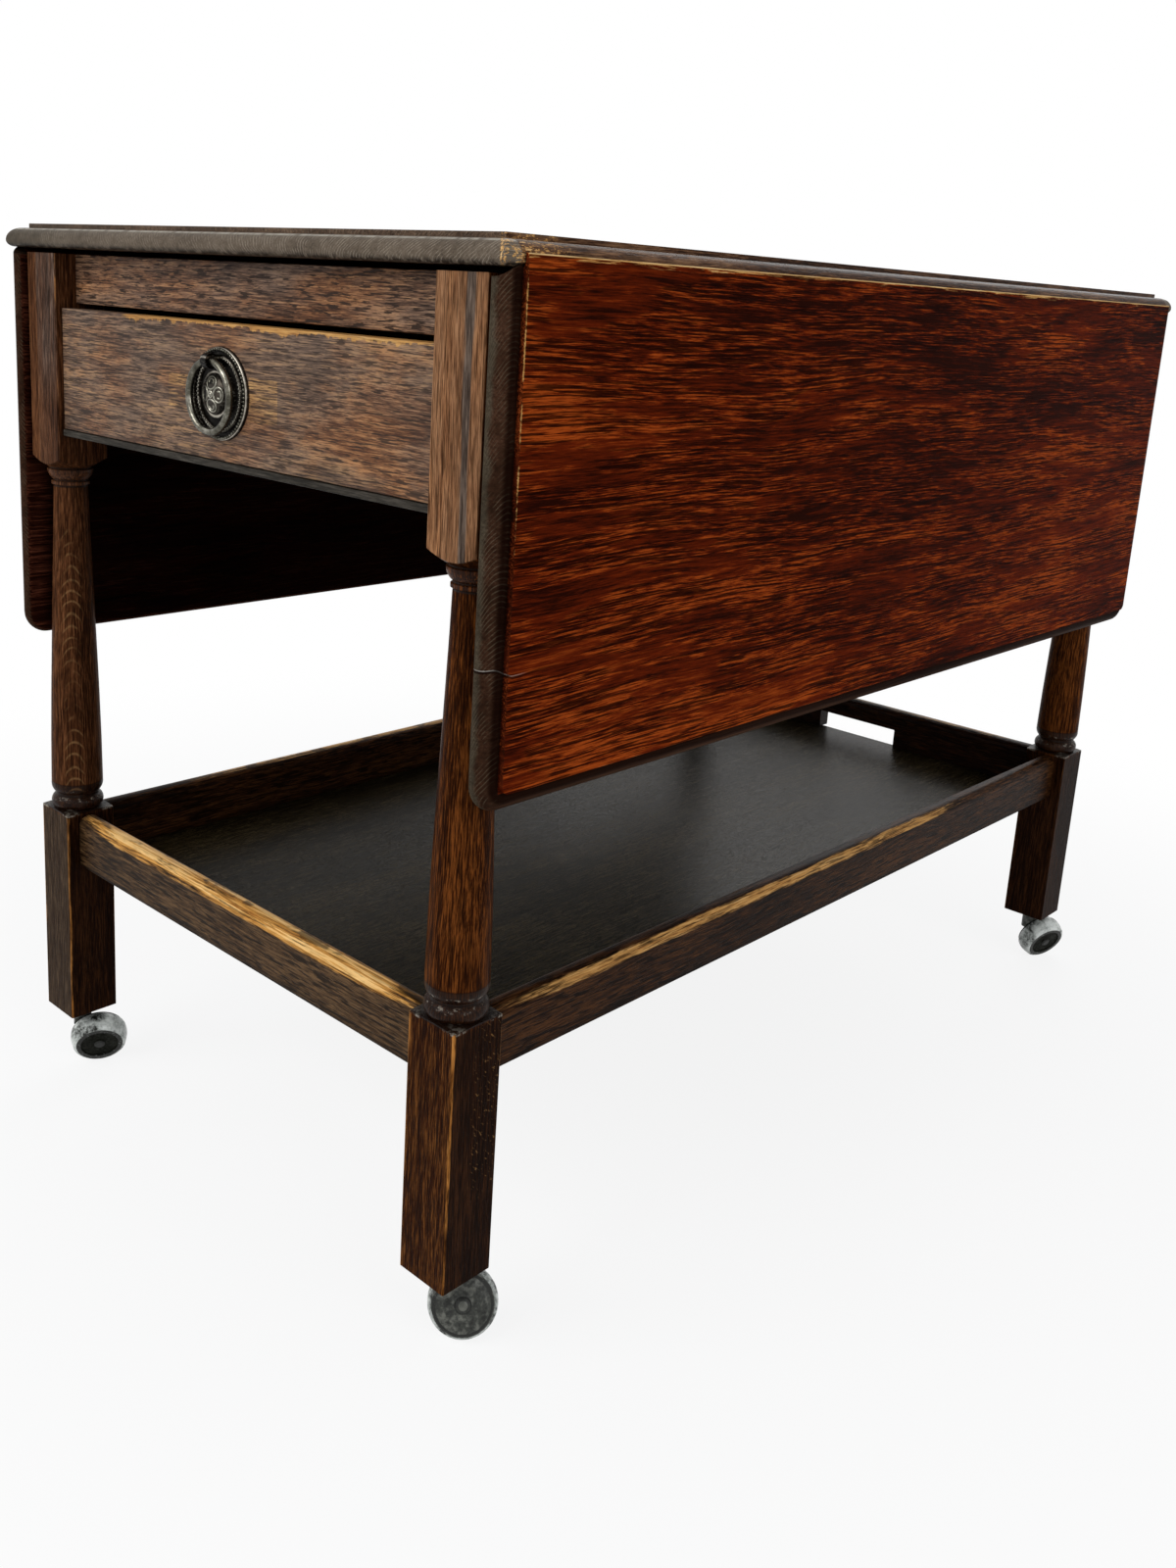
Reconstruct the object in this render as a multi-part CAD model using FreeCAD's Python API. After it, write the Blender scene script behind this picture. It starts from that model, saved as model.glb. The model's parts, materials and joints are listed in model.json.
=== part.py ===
import FreeCAD, Part
import math
import os

# Drop leaf tea trolley, oak. Millimetres, +Z up, floor at z = 0, origin at the centre of the footprint.
# X runs across the trolley (the leaves are on -X and +X), -Y is the drawer end, +Y the plain end.
V = FreeCAD.Vector
MARGIN = 1.0          # how far a cutting tool runs past the face it cuts
SAME = 1e-6           # points nearer than this are one point
ALONG = 0.99          # share of a unit vector at which an edge counts as lying along an axis
BULGE = 1 - math.sqrt(0.5)    # middle of a quarter round, in from both tangents, over its radius

# ---- frame ----------------------------------------------------------------------------------
LEG = 41.0            # leg blank, square (1 5/8 in)
HALF_W = 249.0        # outer face of the legs, across
HALF_L = 446.0        # outer face of the legs, along
LEG_BOTTOM = 53.0     # leg ends stand this high on the castors
LEG_TOP = 673.0
LOW_BLOCK_TOP = 233.0     # square block that takes the tray rails
UP_BLOCK_H = 156.0        # square block that takes the aprons and drawer rails
ARRIS = 1.2           # worn edge radius of the leg blocks
FIT = 0.05            # glue-line clearance round a tenon or a let-in part
APRON_TENON = 14.0    # tenon lengths into a leg
RAIL_TENON = 10.0
APRON_TENON_T = 9.0   # tenon thicknesses
RAIL_TENON_T = 8.0
UP_BLOCK_BOTTOM = LEG_TOP - UP_BLOCK_H
LEG_IN_X = HALF_W - LEG
LEG_IN_Y = HALF_L - LEG
AXIS_X = HALF_W - LEG / 2
AXIS_Y = HALF_L - LEG / 2

# ---- leg turning: cuts below the half width of the blank, heights from the square blocks -----
ROOT = 8.0            # turning runs this far into each block
STEP_H = 0.8          # quirk between two turned members
HOLLOW_AT = 1 / 3     # height, as a share of a hollow, at which its depth is given
FOOT_CUT = 2.3
TORUS_CUT = 0.1
TORUS_H = 9.8
GROOVE_CUT = 3.2
GROOVE_H = 2.3
CUP_CUT = 0.3         # lip of the cup that the shaft grows from
CUP_HOLLOW = 0.9
CUP_H = 7.8
SHAFT_LOW_CUT = 1.0   # poles of the shaft's taper between the cup's lip and the capital
SHAFT_HIGH_CUT = 5.5
SHAFT_END_CUT = 7.6
FILLET_CUT = 6.2      # capital: fillet, neck, swelling, groove and top
FILLET_H = 2.2
NECKING_CUT = 7.3
NECKING_H = 0.8
SWELL_CUT = 3.3
SWELL_HOLLOW = 1.6
SWELL_H = 8.0
QUIRK_CUT = 4.8
QUIRK_H = 0.6
CAP_CUT = 3.5
LOW_SHOULDER = 0.8    # rise of the turned shoulder on the lower block
LOW_FLARE = 8.0       # its slope, out over down
HIGH_SHOULDER = 3.6   # drop of the turned shoulder on the upper block
HIGH_FLARE = 1.6      # its slope, out over up

# ---- top and leaves -------------------------------------------------------------------------
TOP_GAP = 3.5         # shadow gap between leg tops and the top
BOARD = 17.5          # thickness of the top and of both leaves
END_OVER = 7.1        # top beyond the leg faces at the ends
LEAF_SHORT = 2.1      # leaf stops this short of the top's ends
LEAF_CLEAR = 4.5      # hanging leaf stands off the legs
LEAF_REACH = 305.8    # hinge pin to the free edge of a leaf
LEAF_CORNER = 5.4     # corner radius of the flat of a leaf
ARC_OUT = 3.3         # moulding arc centre, outboard of the field edge
ARC_DROP = 12.7       # moulding arc centre, below the upper surface
ARC_R = 9.3           # moulding radius
RULE_GAP = 0.8        # gap between the round of the top and the hollow of a leaf
RULE_START = 55.0     # degrees, a point on the round between fillet and widest place
CURL_R = BOARD - ARC_DROP     # small radius that turns the edge under
EDGE_OUT = ARC_OUT + ARC_R    # moulding width, field edge to outermost point
UNDER = LEG_TOP + TOP_GAP
TOP_Z = UNDER + BOARD
PIN_X = HALF_W + LEAF_CLEAR + CURL_R
PIN_Z = TOP_Z - ARC_DROP
PIN = V(PIN_X, 0, PIN_Z)
FIELD_W = PIN_X - ARC_OUT             # half width of the raised field of the top
FIELD_L = HALF_L + END_OVER - EDGE_OUT    # half length of the raised field of the top
LEAF_HALF_L = HALF_L + END_OVER - LEAF_SHORT

# ---- rule joint hinges ----------------------------------------------------------------------
HINGE_IN = 126.0      # middle of a hinge, in from the leg faces
HINGE_L = 38.0
SWING_ROOM = 0.6      # room inboard of the pin for the swing of the moving flap
KNUCKLE_R = 3.4
KNUCKLE_ROOM = 0.5    # room round a knuckle in the top
PIN_R = 1.3
RUN = 0.05            # running clearance of pins in their bores
FLAP_T = 1.6
FLAP_W = 33.0         # pin to the far edge of a flap
WEB_T = 2.2           # web from a flap up to its knuckles
MID_KNUCKLE = 12.5
SIDE_GAP = 0.5        # end play between knuckles
HINGE_Y = HALF_L - HINGE_IN

# ---- aprons, drawer rails, runners ----------------------------------------------------------
APRON_SET = 11.5      # side aprons stand back from the leg face
APRON_T = 18.0
APRON_H = 142.0
END_SET = 17.0        # frieze and back apron stand back from the leg face
END_T = 18.0
FRIEZE_H = 35.4
BACK_H = 134.0
DRAWER_ROOM = 93.6    # frieze down to the bearer
BEARER_T = 4.8
BEARER_SET = 4.0
BEARER_D = 36.0
RUNNER_T = 13.0
RUNNER_LAP = 14.6     # ledge under a drawer side, from the side's outer face
RUNNER_EXTRA = 10.0   # runner beyond the back of the closed drawer
GUIDE_H = 17.0
GUIDE_GAP = 0.6       # side play of the drawer between its guides
BATTEN = 22.0         # square top-fixing batten
BATTEN_GAP = 1.0
STOP_T = 14.0         # square drawer stop
STOP_GAP = 0.4
SHOULDER_LOW = 12.0   # shoulders of the apron tenons, below and above
SHOULDER_TOP = 14.0
FRIEZE_LOW = 4.0
FRIEZE_UP = 8.0
BEARER_SHOULDER = 6.0
TRAY_LOW = 5.0
TRAY_UP = 9.0
FRIEZE_BOTTOM = LEG_TOP - FRIEZE_H
BACK_BOTTOM = LEG_TOP - BACK_H
APRON_BOTTOM = LEG_TOP - APRON_H
BEARER_TOP = FRIEZE_BOTTOM - DRAWER_ROOM
APRON_X = HALF_W - APRON_SET
APRON_IN = APRON_X - APRON_T

# ---- drawer ---------------------------------------------------------------------------------
DRAWER_SET = 5.0      # drawer front stands back from the leg face
FRONT_T = 18.0
FRONT_RISE = 0.8      # front above the bearer
FRONT_UNDER = 3.8     # front below the frieze
FRONT_GAP = 1.0       # front to each leg
SIDE_T = 10.0
SIDE_IN = 3.4         # sides stand in from the legs
SIDE_RISE = 0.3       # sides above the runners
SIDE_UNDER = 11.8     # sides below the top of the front
BACK_LOW = 8.0        # back below the sides
BACK_IN = 4.0         # back stands in from the ends of the sides
BACK_T = 10.0
DRAWER_D = 410.0      # front face to the back ends of the sides
BOTTOM_RISE = 7.7     # bottom above the lower edges of the sides
BOTTOM_T = 4.0
GROOVE = 5.0          # groove depth, also the lap of the sides in the front
FACE_Y = DRAWER_SET - HALF_L
FRONT_Y = FACE_Y + FRONT_T
BACK_Y = FACE_Y + DRAWER_D
FRONT_BOTTOM = BEARER_TOP + FRONT_RISE
FRONT_TOP = FRIEZE_BOTTOM - FRONT_UNDER
SIDE_OUT = LEG_IN_X - SIDE_IN
SIDE_BOTTOM = BEARER_TOP + SIDE_RISE
SIDE_TOP = FRONT_TOP - SIDE_UNDER
BOTTOM_Z = SIDE_BOTTOM + BOTTOM_RISE
BOTTOM_TOP = BOTTOM_Z + BOTTOM_T

# ---- ring pull: radii of the backplate, and how proud each ring stands ------------------------
PULL_DROP = 0.8       # below the middle of the drawer front
PLATE_R = 30.5
PLATE_T = 1.6         # sunk rings of the plate
RIM_W = 3.4
RIM_PROUD = 2.9
RIM_EDGE = 1.2
RING_STEP = 1.6       # flat between the rim and the second ring
DISH_R = 17.6         # foot of the raised centre
LIP_R = 15.2
LIP_W = 1.6
LIP_PROUD = 5.2
LIP_BEVEL = 0.9
BOSS_R = 13.0
BOSS_PROUD = 6.2
BOSS_TOP = 8.9
BOSS_MID_R = 7.5      # dome of the boss, a point between crown and edge
BOSS_MID = 8.2
BOSS_FLAT = 0.4
RING_R = 22.9         # centre line radius of the ring
RING_BAR = 2.5
RING_DROP = 1.5       # ring centre below the plate centre
RING_OUT = 10.0       # ring plane, proud of the drawer front
RING_ROOM = 0.4       # ring bar in its ear
EAR_W = 6.0
EAR_WALL = 2.1
EAR_NECK = 4.0        # half height of the ear's root
STUD_R = 2.0
STUD_END = 1.5        # stud beyond its nut
NUT_R = 5.0
NUT_T = 4.0
PULL_Z = (FRONT_BOTTOM + FRONT_TOP) / 2 - PULL_DROP

# ---- tray -----------------------------------------------------------------------------------
TRAY_SET = 10.0       # tray rails stand back from the leg face
TRAY_T = 17.0
TRAY_DROP = 3.0       # rail tops below the top of the lower blocks
TRAY_H = 42.0
TRAY_ROUND = 7.5      # rounding of the rail tops
PLY_T = 6.5
PLY_SET = 8.0         # board edge stands in from the rail face
PLY_GAP = 0.4         # board notched round the legs
SLOT_W = 96.0
SLOT_H = 20.0
TRAY_TOP = LOW_BLOCK_TOP - TRAY_DROP
TRAY_BOTTOM = TRAY_TOP - TRAY_H
TRAY_X = HALF_W - TRAY_SET
TRAY_Y = HALF_L - TRAY_SET

# ---- swing-up leaf stays --------------------------------------------------------------------
STAY_DROP = 45.0      # stay pivot below the hinge pin
STAY_OUT = 6.5        # stay pivot outboard of the apron face
STAY_SWING = 112.5    # degrees, hanging to propping
STAY_SEAT = 0.35      # bar below the underside of the raised leaf
STAY_R = 3.0
STAY_HALF = 150.0     # half width of the stay
STAY_BEND = 9.0       # centre line radius of its bends
STAY_PLAY = 1.0       # eye beyond the bend
STAY_END = 1.5        # rod beyond the eye
EYE_L = 14.0
EYE_R = 5.5
EYE_ARM = 4.9         # half height of the arm that carries an eye
BRACKET_T = 3.0
BRACKET_H = 9.0       # half height of the strip
CATCH_GAP = 1.4       # propping bar to the catch strip
CATCH_W = 12.0
CATCH_T = 1.5
CATCH_L = 320.0
STAY_X = APRON_X + STAY_OUT
STAY_Z = PIN_Z - STAY_DROP
PROP_ANGLE = math.radians(STAY_SWING - 90)
STAY_LEN = (UNDER - STAY_SEAT - STAY_R - STAY_Z) / math.sin(PROP_ANGLE)
CATCH_X = STAY_X + STAY_LEN * math.cos(PROP_ANGLE) + STAY_R + CATCH_GAP

# ---- castors --------------------------------------------------------------------------------
STEM_R = 4.0
STEM_L = 38.0
STEM_END = 1.5        # bore beyond the stem
NECK_R = 7.3
NECK_H = 18.4
NECK_GAP = 0.6        # neck shoulder below the leg
CAMBER = 24.0         # degrees the wheel axle leans
TRAIL = 13.0          # wheel centre behind the swivel axis
INSET = -3.5          # wheel centre along the axle, from the swivel axis
AXLE_R = 2.5
TYRE_R = 23.2         # crown of the tyre
TYRE_IN = 15.5        # tyre sits on the wheel here
TYRE_LOW = -12.0      # low face of the tyre, along the axle
TYRE_HIGH = 4.6
TYRE_CROWN_X = -2.5   # widest place of the tyre, along the axle
TYRE_ROUND_L = 4.0    # rounding of the low edge, along the axle and inward
TYRE_ROUND_R = 3.1
TYRE_FALL_LOW = 1.2   # running face falls this much to the rounding, and to the high edge
TYRE_FALL_HIGH = 0.8
TYRE_BEVEL_L = 1.0
TYRE_BEVEL_R = 0.8
WHEEL_LOW = -10.9
WHEEL_HIGH = 4.2
HOOD_FACE = 5.6       # inner face of the hood, along the axle
HOOD_T = 4.0
HOOD_RIM = 0.8
HOOD_R = 20.6
HOOD_FLAT = 8.0       # radius of the flat of the hood
HOOD_FALL = 1.0       # dome of the hood, a point between flat and rim
HOOD_FALL_IN = 4.0
HOOD_ROOM = 1.0       # neck cut round the tyre
TAIL_GAP = 0.3        # axle tail outside the wheel
TAIL_R = 4.4
TAIL_T = 1.6
TAIL_BEVEL = 1.2
HEAD_R = 4.9
HEAD_T = 2.0
HEAD_RIM = 0.7
HEAD_FALL = 0.3       # dome of the head, a point between crown and rim
HEAD_FALL_IN = 2.0
HEAD_CROWN = 0.2
CASTORS = {           # name: (side across, side along, direction the hood faces, hand)
    "fl": (-1, -1, 152.0, -1),
    "fr": (1, -1, -44.0, 1),
    "bl": (-1, 1, 200.0, 1),
    "br": (1, 1, 156.0, -1),
}


def box(x0, x1, y0, y1, z0, z1):
    return Part.makeBox(x1 - x0, y1 - y0, z1 - z0, V(x0, y0, z0))


def rod(radius, length, base, direction):
    return Part.makeCylinder(radius, length, base, direction)


def rod_y(radius, y0, y1, x, z):
    return rod(radius, y1 - y0, V(x, y0, z), V(0, 1, 0))


def joined(shapes):
    return shapes[0].fuse(shapes[1:]).removeSplitter()


def mirror_x(shape):
    return shape.mirror(V(0, 0, 0), V(1, 0, 0))


def mirror_y(shape):
    return shape.mirror(V(0, 0, 0), V(0, 1, 0))


def run_edges(points):
    """Edges through straight runs and arcs; a pair of points is an arc through the first."""
    edges = []
    last = points[0]
    for item in points[1:]:
        if isinstance(item, tuple):
            edges.append(Part.Arc(last, item[0], item[1]).toShape())
            last = item[1]
        else:
            edges.append(Part.makeLine(last, item))
            last = item
    return edges, last


def face(points):
    """Planar face inside a run of straights and arcs, closed back to its first point."""
    edges, last = run_edges(points)
    if last.distanceToPoint(points[0]) > SAME:
        edges.append(Part.makeLine(last, points[0]))
    return Part.Face(Part.Wire(edges))


def moulding(place, field):
    """Edge of the boards from the field out: fillet, round, small curl under.
    place(u, z) gives the point u out and z up; field is where the raised field ends."""
    fillet_z = PIN_Z + math.sqrt(ARC_R ** 2 - ARC_OUT ** 2)
    round_at = math.radians(RULE_START)
    curl_x = field + EDGE_OUT - CURL_R
    return [
        place(field, TOP_Z),
        place(field, fillet_z),
        (place(field + ARC_OUT + ARC_R * math.cos(round_at), PIN_Z + ARC_R * math.sin(round_at)),
         place(field + EDGE_OUT, PIN_Z)),
        (place(curl_x + CURL_R * math.sqrt(0.5), PIN_Z - CURL_R * math.sqrt(0.5)),
         place(curl_x, UNDER)),
    ]


# ---- top board ------------------------------------------------------------------------------
def board_section(place, half):
    """Full section of the top across one axis, both edges moulded."""
    first = moulding(place, half)
    top, fillet, (round_mid, wide), (curl, under) = moulding(lambda u, z: place(-u, z), half)
    return face(first + [under, (curl, wide), (round_mid, fillet), top])


def flap_bed(x0, x1, y):
    """Recess for a hinge flap in the underside of a board."""
    return box(x0, x1, y - HINGE_L / 2 - FIT, y + HINGE_L / 2 + FIT, UNDER - MARGIN, UNDER + FLAP_T)


def hinge_notch(y):
    """Room in the top for the knuckle and for the swing of the leaf flap."""
    half = HINGE_L / 2 + KNUCKLE_ROOM
    knuckle = rod_y(KNUCKLE_R + KNUCKLE_ROOM, y - half, y + half, PIN_X, PIN_Z)
    swing = box(PIN_X - CURL_R - SWING_ROOM, PIN_X + ARC_R + MARGIN, y - half, y + half,
                UNDER - MARGIN, PIN_Z)
    bed = flap_bed(PIN_X - FLAP_W - FIT, PIN_X - CURL_R, y)
    return knuckle.fuse([swing, bed])


def top_board():
    over_w = FIELD_W + EDGE_OUT + MARGIN
    over_l = FIELD_L + EDGE_OUT + MARGIN
    across = board_section(lambda u, z: V(u, -over_l, z), FIELD_W).extrude(V(0, 2 * over_l, 0))
    along = board_section(lambda u, z: V(-over_w, u, z), FIELD_L).extrude(V(2 * over_w, 0, 0))
    notches = [hinge_notch(-HINGE_Y), hinge_notch(HINGE_Y)]
    board = across.common(along).cut(notches + [mirror_x(n) for n in notches])
    return board.removeSplitter()


# ---- leaves: made raised on the +X side, then swung down about the hinge pin ----------------
def swing_down(shape):
    shape = shape.copy()
    shape.rotate(PIN, V(0, 1, 0), 90)
    return shape


def leaf_raised():
    """Flat with a moulded rim on three sides and the hollow of the rule joint on the fourth."""
    start = FIELD_W - MARGIN
    flat_x = PIN_X + LEAF_REACH - EDGE_OUT
    flat_y = LEAF_HALF_L - EDGE_OUT
    r = LEAF_CORNER
    k = r * BULGE
    edges, _ = run_edges([
        V(start, -flat_y, UNDER),
        V(flat_x - r, -flat_y, UNDER),
        (V(flat_x - k, -flat_y + k, UNDER), V(flat_x, -flat_y + r, UNDER)),
        V(flat_x, flat_y - r, UNDER),
        (V(flat_x - k, flat_y - k, UNDER), V(flat_x - r, flat_y, UNDER)),
        V(start, flat_y, UNDER),
    ])
    closing = Part.makeLine(V(start, flat_y, UNDER), V(start, -flat_y, UNDER))
    flat = Part.Face(Part.Wire(edges + [closing])).extrude(V(0, 0, BOARD))
    section = moulding(lambda u, z: V(start, -flat_y - u, z), 0.0)
    strip = face([V(start, -flat_y, UNDER)] + section[1:])
    rim = Part.Wire(edges).makePipeShell([strip.OuterWire], True, False)
    end = LEAF_HALF_L + MARGIN
    hollow_r = ARC_R + RULE_GAP
    edge = box(start - MARGIN, FIELD_W + RULE_GAP, -end, end, UNDER - MARGIN, TOP_Z + MARGIN)
    hollow = rod_y(hollow_r, -end, end, PIN_X, PIN_Z)
    below = box(start - MARGIN, PIN_X + hollow_r, -end, end, UNDER - MARGIN, PIN_Z)
    beds = [flap_bed(PIN_X, PIN_X + FLAP_W + FIT, y) for y in (-HINGE_Y, HINGE_Y)]
    return flat.fuse(rim).cut([edge, hollow, below] + beds).removeSplitter()


def catch_raised():
    return box(CATCH_X, CATCH_X + CATCH_W, -CATCH_L / 2, CATCH_L / 2, UNDER - CATCH_T, UNDER)


# ---- rule joint hinges ----------------------------------------------------------------------
def knuckle_run(side, y0, y1):
    """Knuckle from y0 to y1 with the web that carries it; side is the way its flap lies."""
    x0, x1 = sorted((PIN_X, PIN_X + side * WEB_T))
    web = box(x0, x1, y0, y1, UNDER + FLAP_T / 2, PIN_Z)
    return [web, rod_y(KNUCKLE_R, y0, y1, PIN_X, PIN_Z)]


def hinge_fixed(y):
    """Flap let into the top, middle knuckle and the pin."""
    mid = MID_KNUCKLE / 2
    half = HINGE_L / 2
    flap = box(PIN_X - FLAP_W, PIN_X - CURL_R - SIDE_GAP, y - half, y + half, UNDER, UNDER + FLAP_T)
    tongue = box(PIN_X - CURL_R - MARGIN, PIN_X, y - mid, y + mid, UNDER, UNDER + FLAP_T)
    pin = rod_y(PIN_R, y - half, y + half, PIN_X, PIN_Z)
    return joined([flap, tongue, pin] + knuckle_run(-1, y - mid, y + mid))


def hinge_moving_raised(y):
    """Flap let into the leaf with the two outer knuckles."""
    mid = MID_KNUCKLE / 2 + SIDE_GAP
    half = HINGE_L / 2
    clear = KNUCKLE_R + KNUCKLE_ROOM + WEB_T
    parts = [box(PIN_X + clear, PIN_X + FLAP_W, y - half, y + half, UNDER, UNDER + FLAP_T)]
    for y0, y1 in ((y - half, y - mid), (y + mid, y + half)):
        parts.append(box(PIN_X, PIN_X + clear + MARGIN, y0, y1, UNDER, UNDER + FLAP_T))
        parts += knuckle_run(1, y0, y1)
    bore = rod_y(PIN_R + RUN, y - half - MARGIN, y + half + MARGIN, PIN_X, PIN_Z)
    return joined(parts).cut(bore)


# ---- legs -----------------------------------------------------------------------------------
def leg_column():
    """Torus foot, cup, tapering shaft and capital between the blocks, revolved about Z."""
    h = LEG / 2
    z = LOW_BLOCK_TOP + LOW_SHOULDER
    foot = [V(0, 0, z - ROOT), V(h - FOOT_CUT, 0, z - ROOT), V(h - FOOT_CUT, 0, z),
            (V(h - TORUS_CUT, 0, z + TORUS_H / 2), V(h - FOOT_CUT, 0, z + TORUS_H))]
    z += TORUS_H + STEP_H
    foot += [V(h - GROOVE_CUT, 0, z), V(h - GROOVE_CUT, 0, z + GROOVE_H)]
    z += GROOVE_H
    foot.append((V(h - CUP_CUT - CUP_HOLLOW, 0, z + CUP_H * HOLLOW_AT), V(h - CUP_CUT, 0, z + CUP_H)))
    z += CUP_H

    steps = 4 * STEP_H + FILLET_H + NECKING_H + SWELL_H + QUIRK_H
    cap_z = UP_BLOCK_BOTTOM - HIGH_SHOULDER - steps
    cuts = (CUP_CUT, SHAFT_LOW_CUT, SHAFT_HIGH_CUT, SHAFT_END_CUT)
    poles = [V(h - cut, 0, z + (cap_z - z) * i / (len(cuts) - 1)) for i, cut in enumerate(cuts)]
    shaft = Part.BezierCurve()
    shaft.setPoles(poles)

    z = cap_z + STEP_H
    head = [poles[-1], V(h - FILLET_CUT, 0, z), V(h - FILLET_CUT, 0, z + FILLET_H)]
    z += FILLET_H + STEP_H
    head += [V(h - NECKING_CUT, 0, z), V(h - NECKING_CUT, 0, z + NECKING_H)]
    z += NECKING_H
    head.append((V(h - SWELL_CUT - SWELL_HOLLOW, 0, z + SWELL_H * HOLLOW_AT),
                 V(h - SWELL_CUT, 0, z + SWELL_H)))
    z += SWELL_H + STEP_H
    head += [V(h - QUIRK_CUT, 0, z), V(h - QUIRK_CUT, 0, z + QUIRK_H)]
    z += QUIRK_H + STEP_H
    end_z = UP_BLOCK_BOTTOM + ROOT
    head += [V(h - CAP_CUT, 0, z), V(h - CAP_CUT, 0, end_z), V(0, 0, end_z), foot[0]]
    outline = run_edges(foot)[0] + [shaft.toShape()] + run_edges(head)[0]
    return Part.Face(Part.Wire(outline)).revolve(V(0, 0, 0), V(0, 0, 1), 360)


def leg_block(z0, z1):
    """Square block with worn arrises."""
    h = LEG / 2
    block = box(-h, h, -h, h, z0, z1)
    upright = [e for e in block.Edges if abs(e.tangentAt(e.FirstParameter).z) > ALONG]
    return block.makeFillet(ARRIS, upright)


def shouldered(block, radius, z_turned, z_far, flare):
    """Turn the corners of a block to a cone that has this radius at z_turned and opens to z_far."""
    length = abs(z_far - z_turned)
    way = V(0, 0, math.copysign(1, z_far - z_turned))
    return block.common(Part.makeCone(radius, radius + length * flare, length, V(0, 0, z_turned), way))


def leg_raw():
    """One leg about its own axis, with the castor bore."""
    h = LEG / 2
    low_top = LOW_BLOCK_TOP + LOW_SHOULDER
    high_bottom = UP_BLOCK_BOTTOM - HIGH_SHOULDER
    low = shouldered(leg_block(LEG_BOTTOM, low_top), h - FOOT_CUT, low_top, LEG_BOTTOM, LOW_FLARE)
    high = shouldered(leg_block(high_bottom, LEG_TOP), h - CAP_CUT, high_bottom, LEG_TOP, HIGH_FLARE)
    bore = rod(STEM_R + RUN, STEM_L + STEM_END, V(0, 0, LEG_BOTTOM), V(0, 0, 1))
    return joined([low, leg_column(), high]).cut(bore)


def tenons():
    """Tenons into the +X legs at the +Y end, as (x0, x1, y0, y1, z0, z1)."""
    apron_x = APRON_X - APRON_T / 2
    end_y = HALF_L - END_SET - END_T / 2
    tray_x = TRAY_X - TRAY_T / 2
    tray_y = TRAY_Y - TRAY_T / 2
    bear_y = HALF_L - BEARER_SET
    t = APRON_TENON_T / 2
    u = RAIL_TENON_T / 2
    high = LEG_TOP - SHOULDER_TOP
    tray = (TRAY_BOTTOM + TRAY_LOW, TRAY_TOP - TRAY_UP)
    return {
        "apron": (apron_x - t, apron_x + t, LEG_IN_Y, LEG_IN_Y + APRON_TENON,
                  APRON_BOTTOM + SHOULDER_LOW, high),
        "frieze": (LEG_IN_X, LEG_IN_X + APRON_TENON, end_y - t, end_y + t,
                   FRIEZE_BOTTOM + FRIEZE_LOW, LEG_TOP - FRIEZE_UP),
        "back": (LEG_IN_X, LEG_IN_X + APRON_TENON, end_y - t, end_y + t, BACK_BOTTOM + SHOULDER_LOW, high),
        "bearer": (LEG_IN_X, LEG_IN_X + RAIL_TENON, bear_y - BEARER_D + BEARER_SHOULDER,
                   bear_y - BEARER_SHOULDER, BEARER_TOP - BEARER_T, BEARER_TOP),
        "tray_end": (LEG_IN_X, LEG_IN_X + RAIL_TENON, tray_y - u, tray_y + u) + tray,
        "tray_side": (tray_x - u, tray_x + u, LEG_IN_Y, LEG_IN_Y + RAIL_TENON) + tray,
    }


def mortise(tenon):
    x0, x1, y0, y1, z0, z1 = tenon
    return box(x0 - FIT, x1 + FIT, y0 - FIT, y1 + FIT, z0 - FIT, z1 + FIT)


def leg(side_x, side_y):
    shape = leg_raw()
    shape.translate(V(AXIS_X, AXIS_Y, 0))
    names = ["apron", "tray_end", "tray_side"] + (["back"] if side_y > 0 else ["frieze", "bearer"])
    shape = shape.cut([mortise(tenons()[name]) for name in names])
    if side_x < 0:
        shape = mirror_x(shape)
    if side_y < 0:
        shape = mirror_y(shape)
    return shape


# ---- aprons and rails -----------------------------------------------------------------------
def rail_across(y_face, thick, z0, z1, tenon):
    """Rail between two legs of the +Y end, its outer face at y_face."""
    body = box(-LEG_IN_X, LEG_IN_X, y_face - thick, y_face, z0, z1)
    end = box(*tenons()[tenon])
    return joined([body, end, mirror_x(end)])


def frieze_rail():
    return mirror_y(rail_across(HALF_L - END_SET, END_T, FRIEZE_BOTTOM, LEG_TOP, "frieze"))


def back_apron():
    return rail_across(HALF_L - END_SET, END_T, BACK_BOTTOM, LEG_TOP, "back")


def drawer_bearer():
    return mirror_y(rail_across(HALF_L - BEARER_SET, BEARER_D, BEARER_TOP - BEARER_T, BEARER_TOP, "bearer"))


def side_apron():
    body = box(APRON_IN, APRON_X, -LEG_IN_Y, LEG_IN_Y, APRON_BOTTOM, UNDER)
    tenon = box(*tenons()["apron"])
    return joined([body, tenon, mirror_y(tenon)])


def drawer_runner():
    """Ledge that carries a drawer side, with the guide beside it."""
    y1 = -LEG_IN_Y + DRAWER_D + RUNNER_EXTRA
    ledge = box(SIDE_OUT - RUNNER_LAP, APRON_IN, -LEG_IN_Y, y1, BEARER_TOP - RUNNER_T, BEARER_TOP)
    guide = box(SIDE_OUT + GUIDE_GAP, APRON_IN, -LEG_IN_Y, y1, BEARER_TOP - MARGIN, BEARER_TOP + GUIDE_H)
    return joined([ledge, guide])


def top_batten():
    half = LEG_IN_Y - BATTEN_GAP
    return box(APRON_IN - BATTEN, APRON_IN, -half, half, UNDER - BATTEN, UNDER)


def drawer_stop():
    """Block behind the closed drawer, glued across the two runners."""
    half = SIDE_OUT - GUIDE_GAP
    y0 = BACK_Y + STOP_GAP
    return box(-half, half, y0, y0 + STOP_T, BEARER_TOP, BEARER_TOP + STOP_T)


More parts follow.
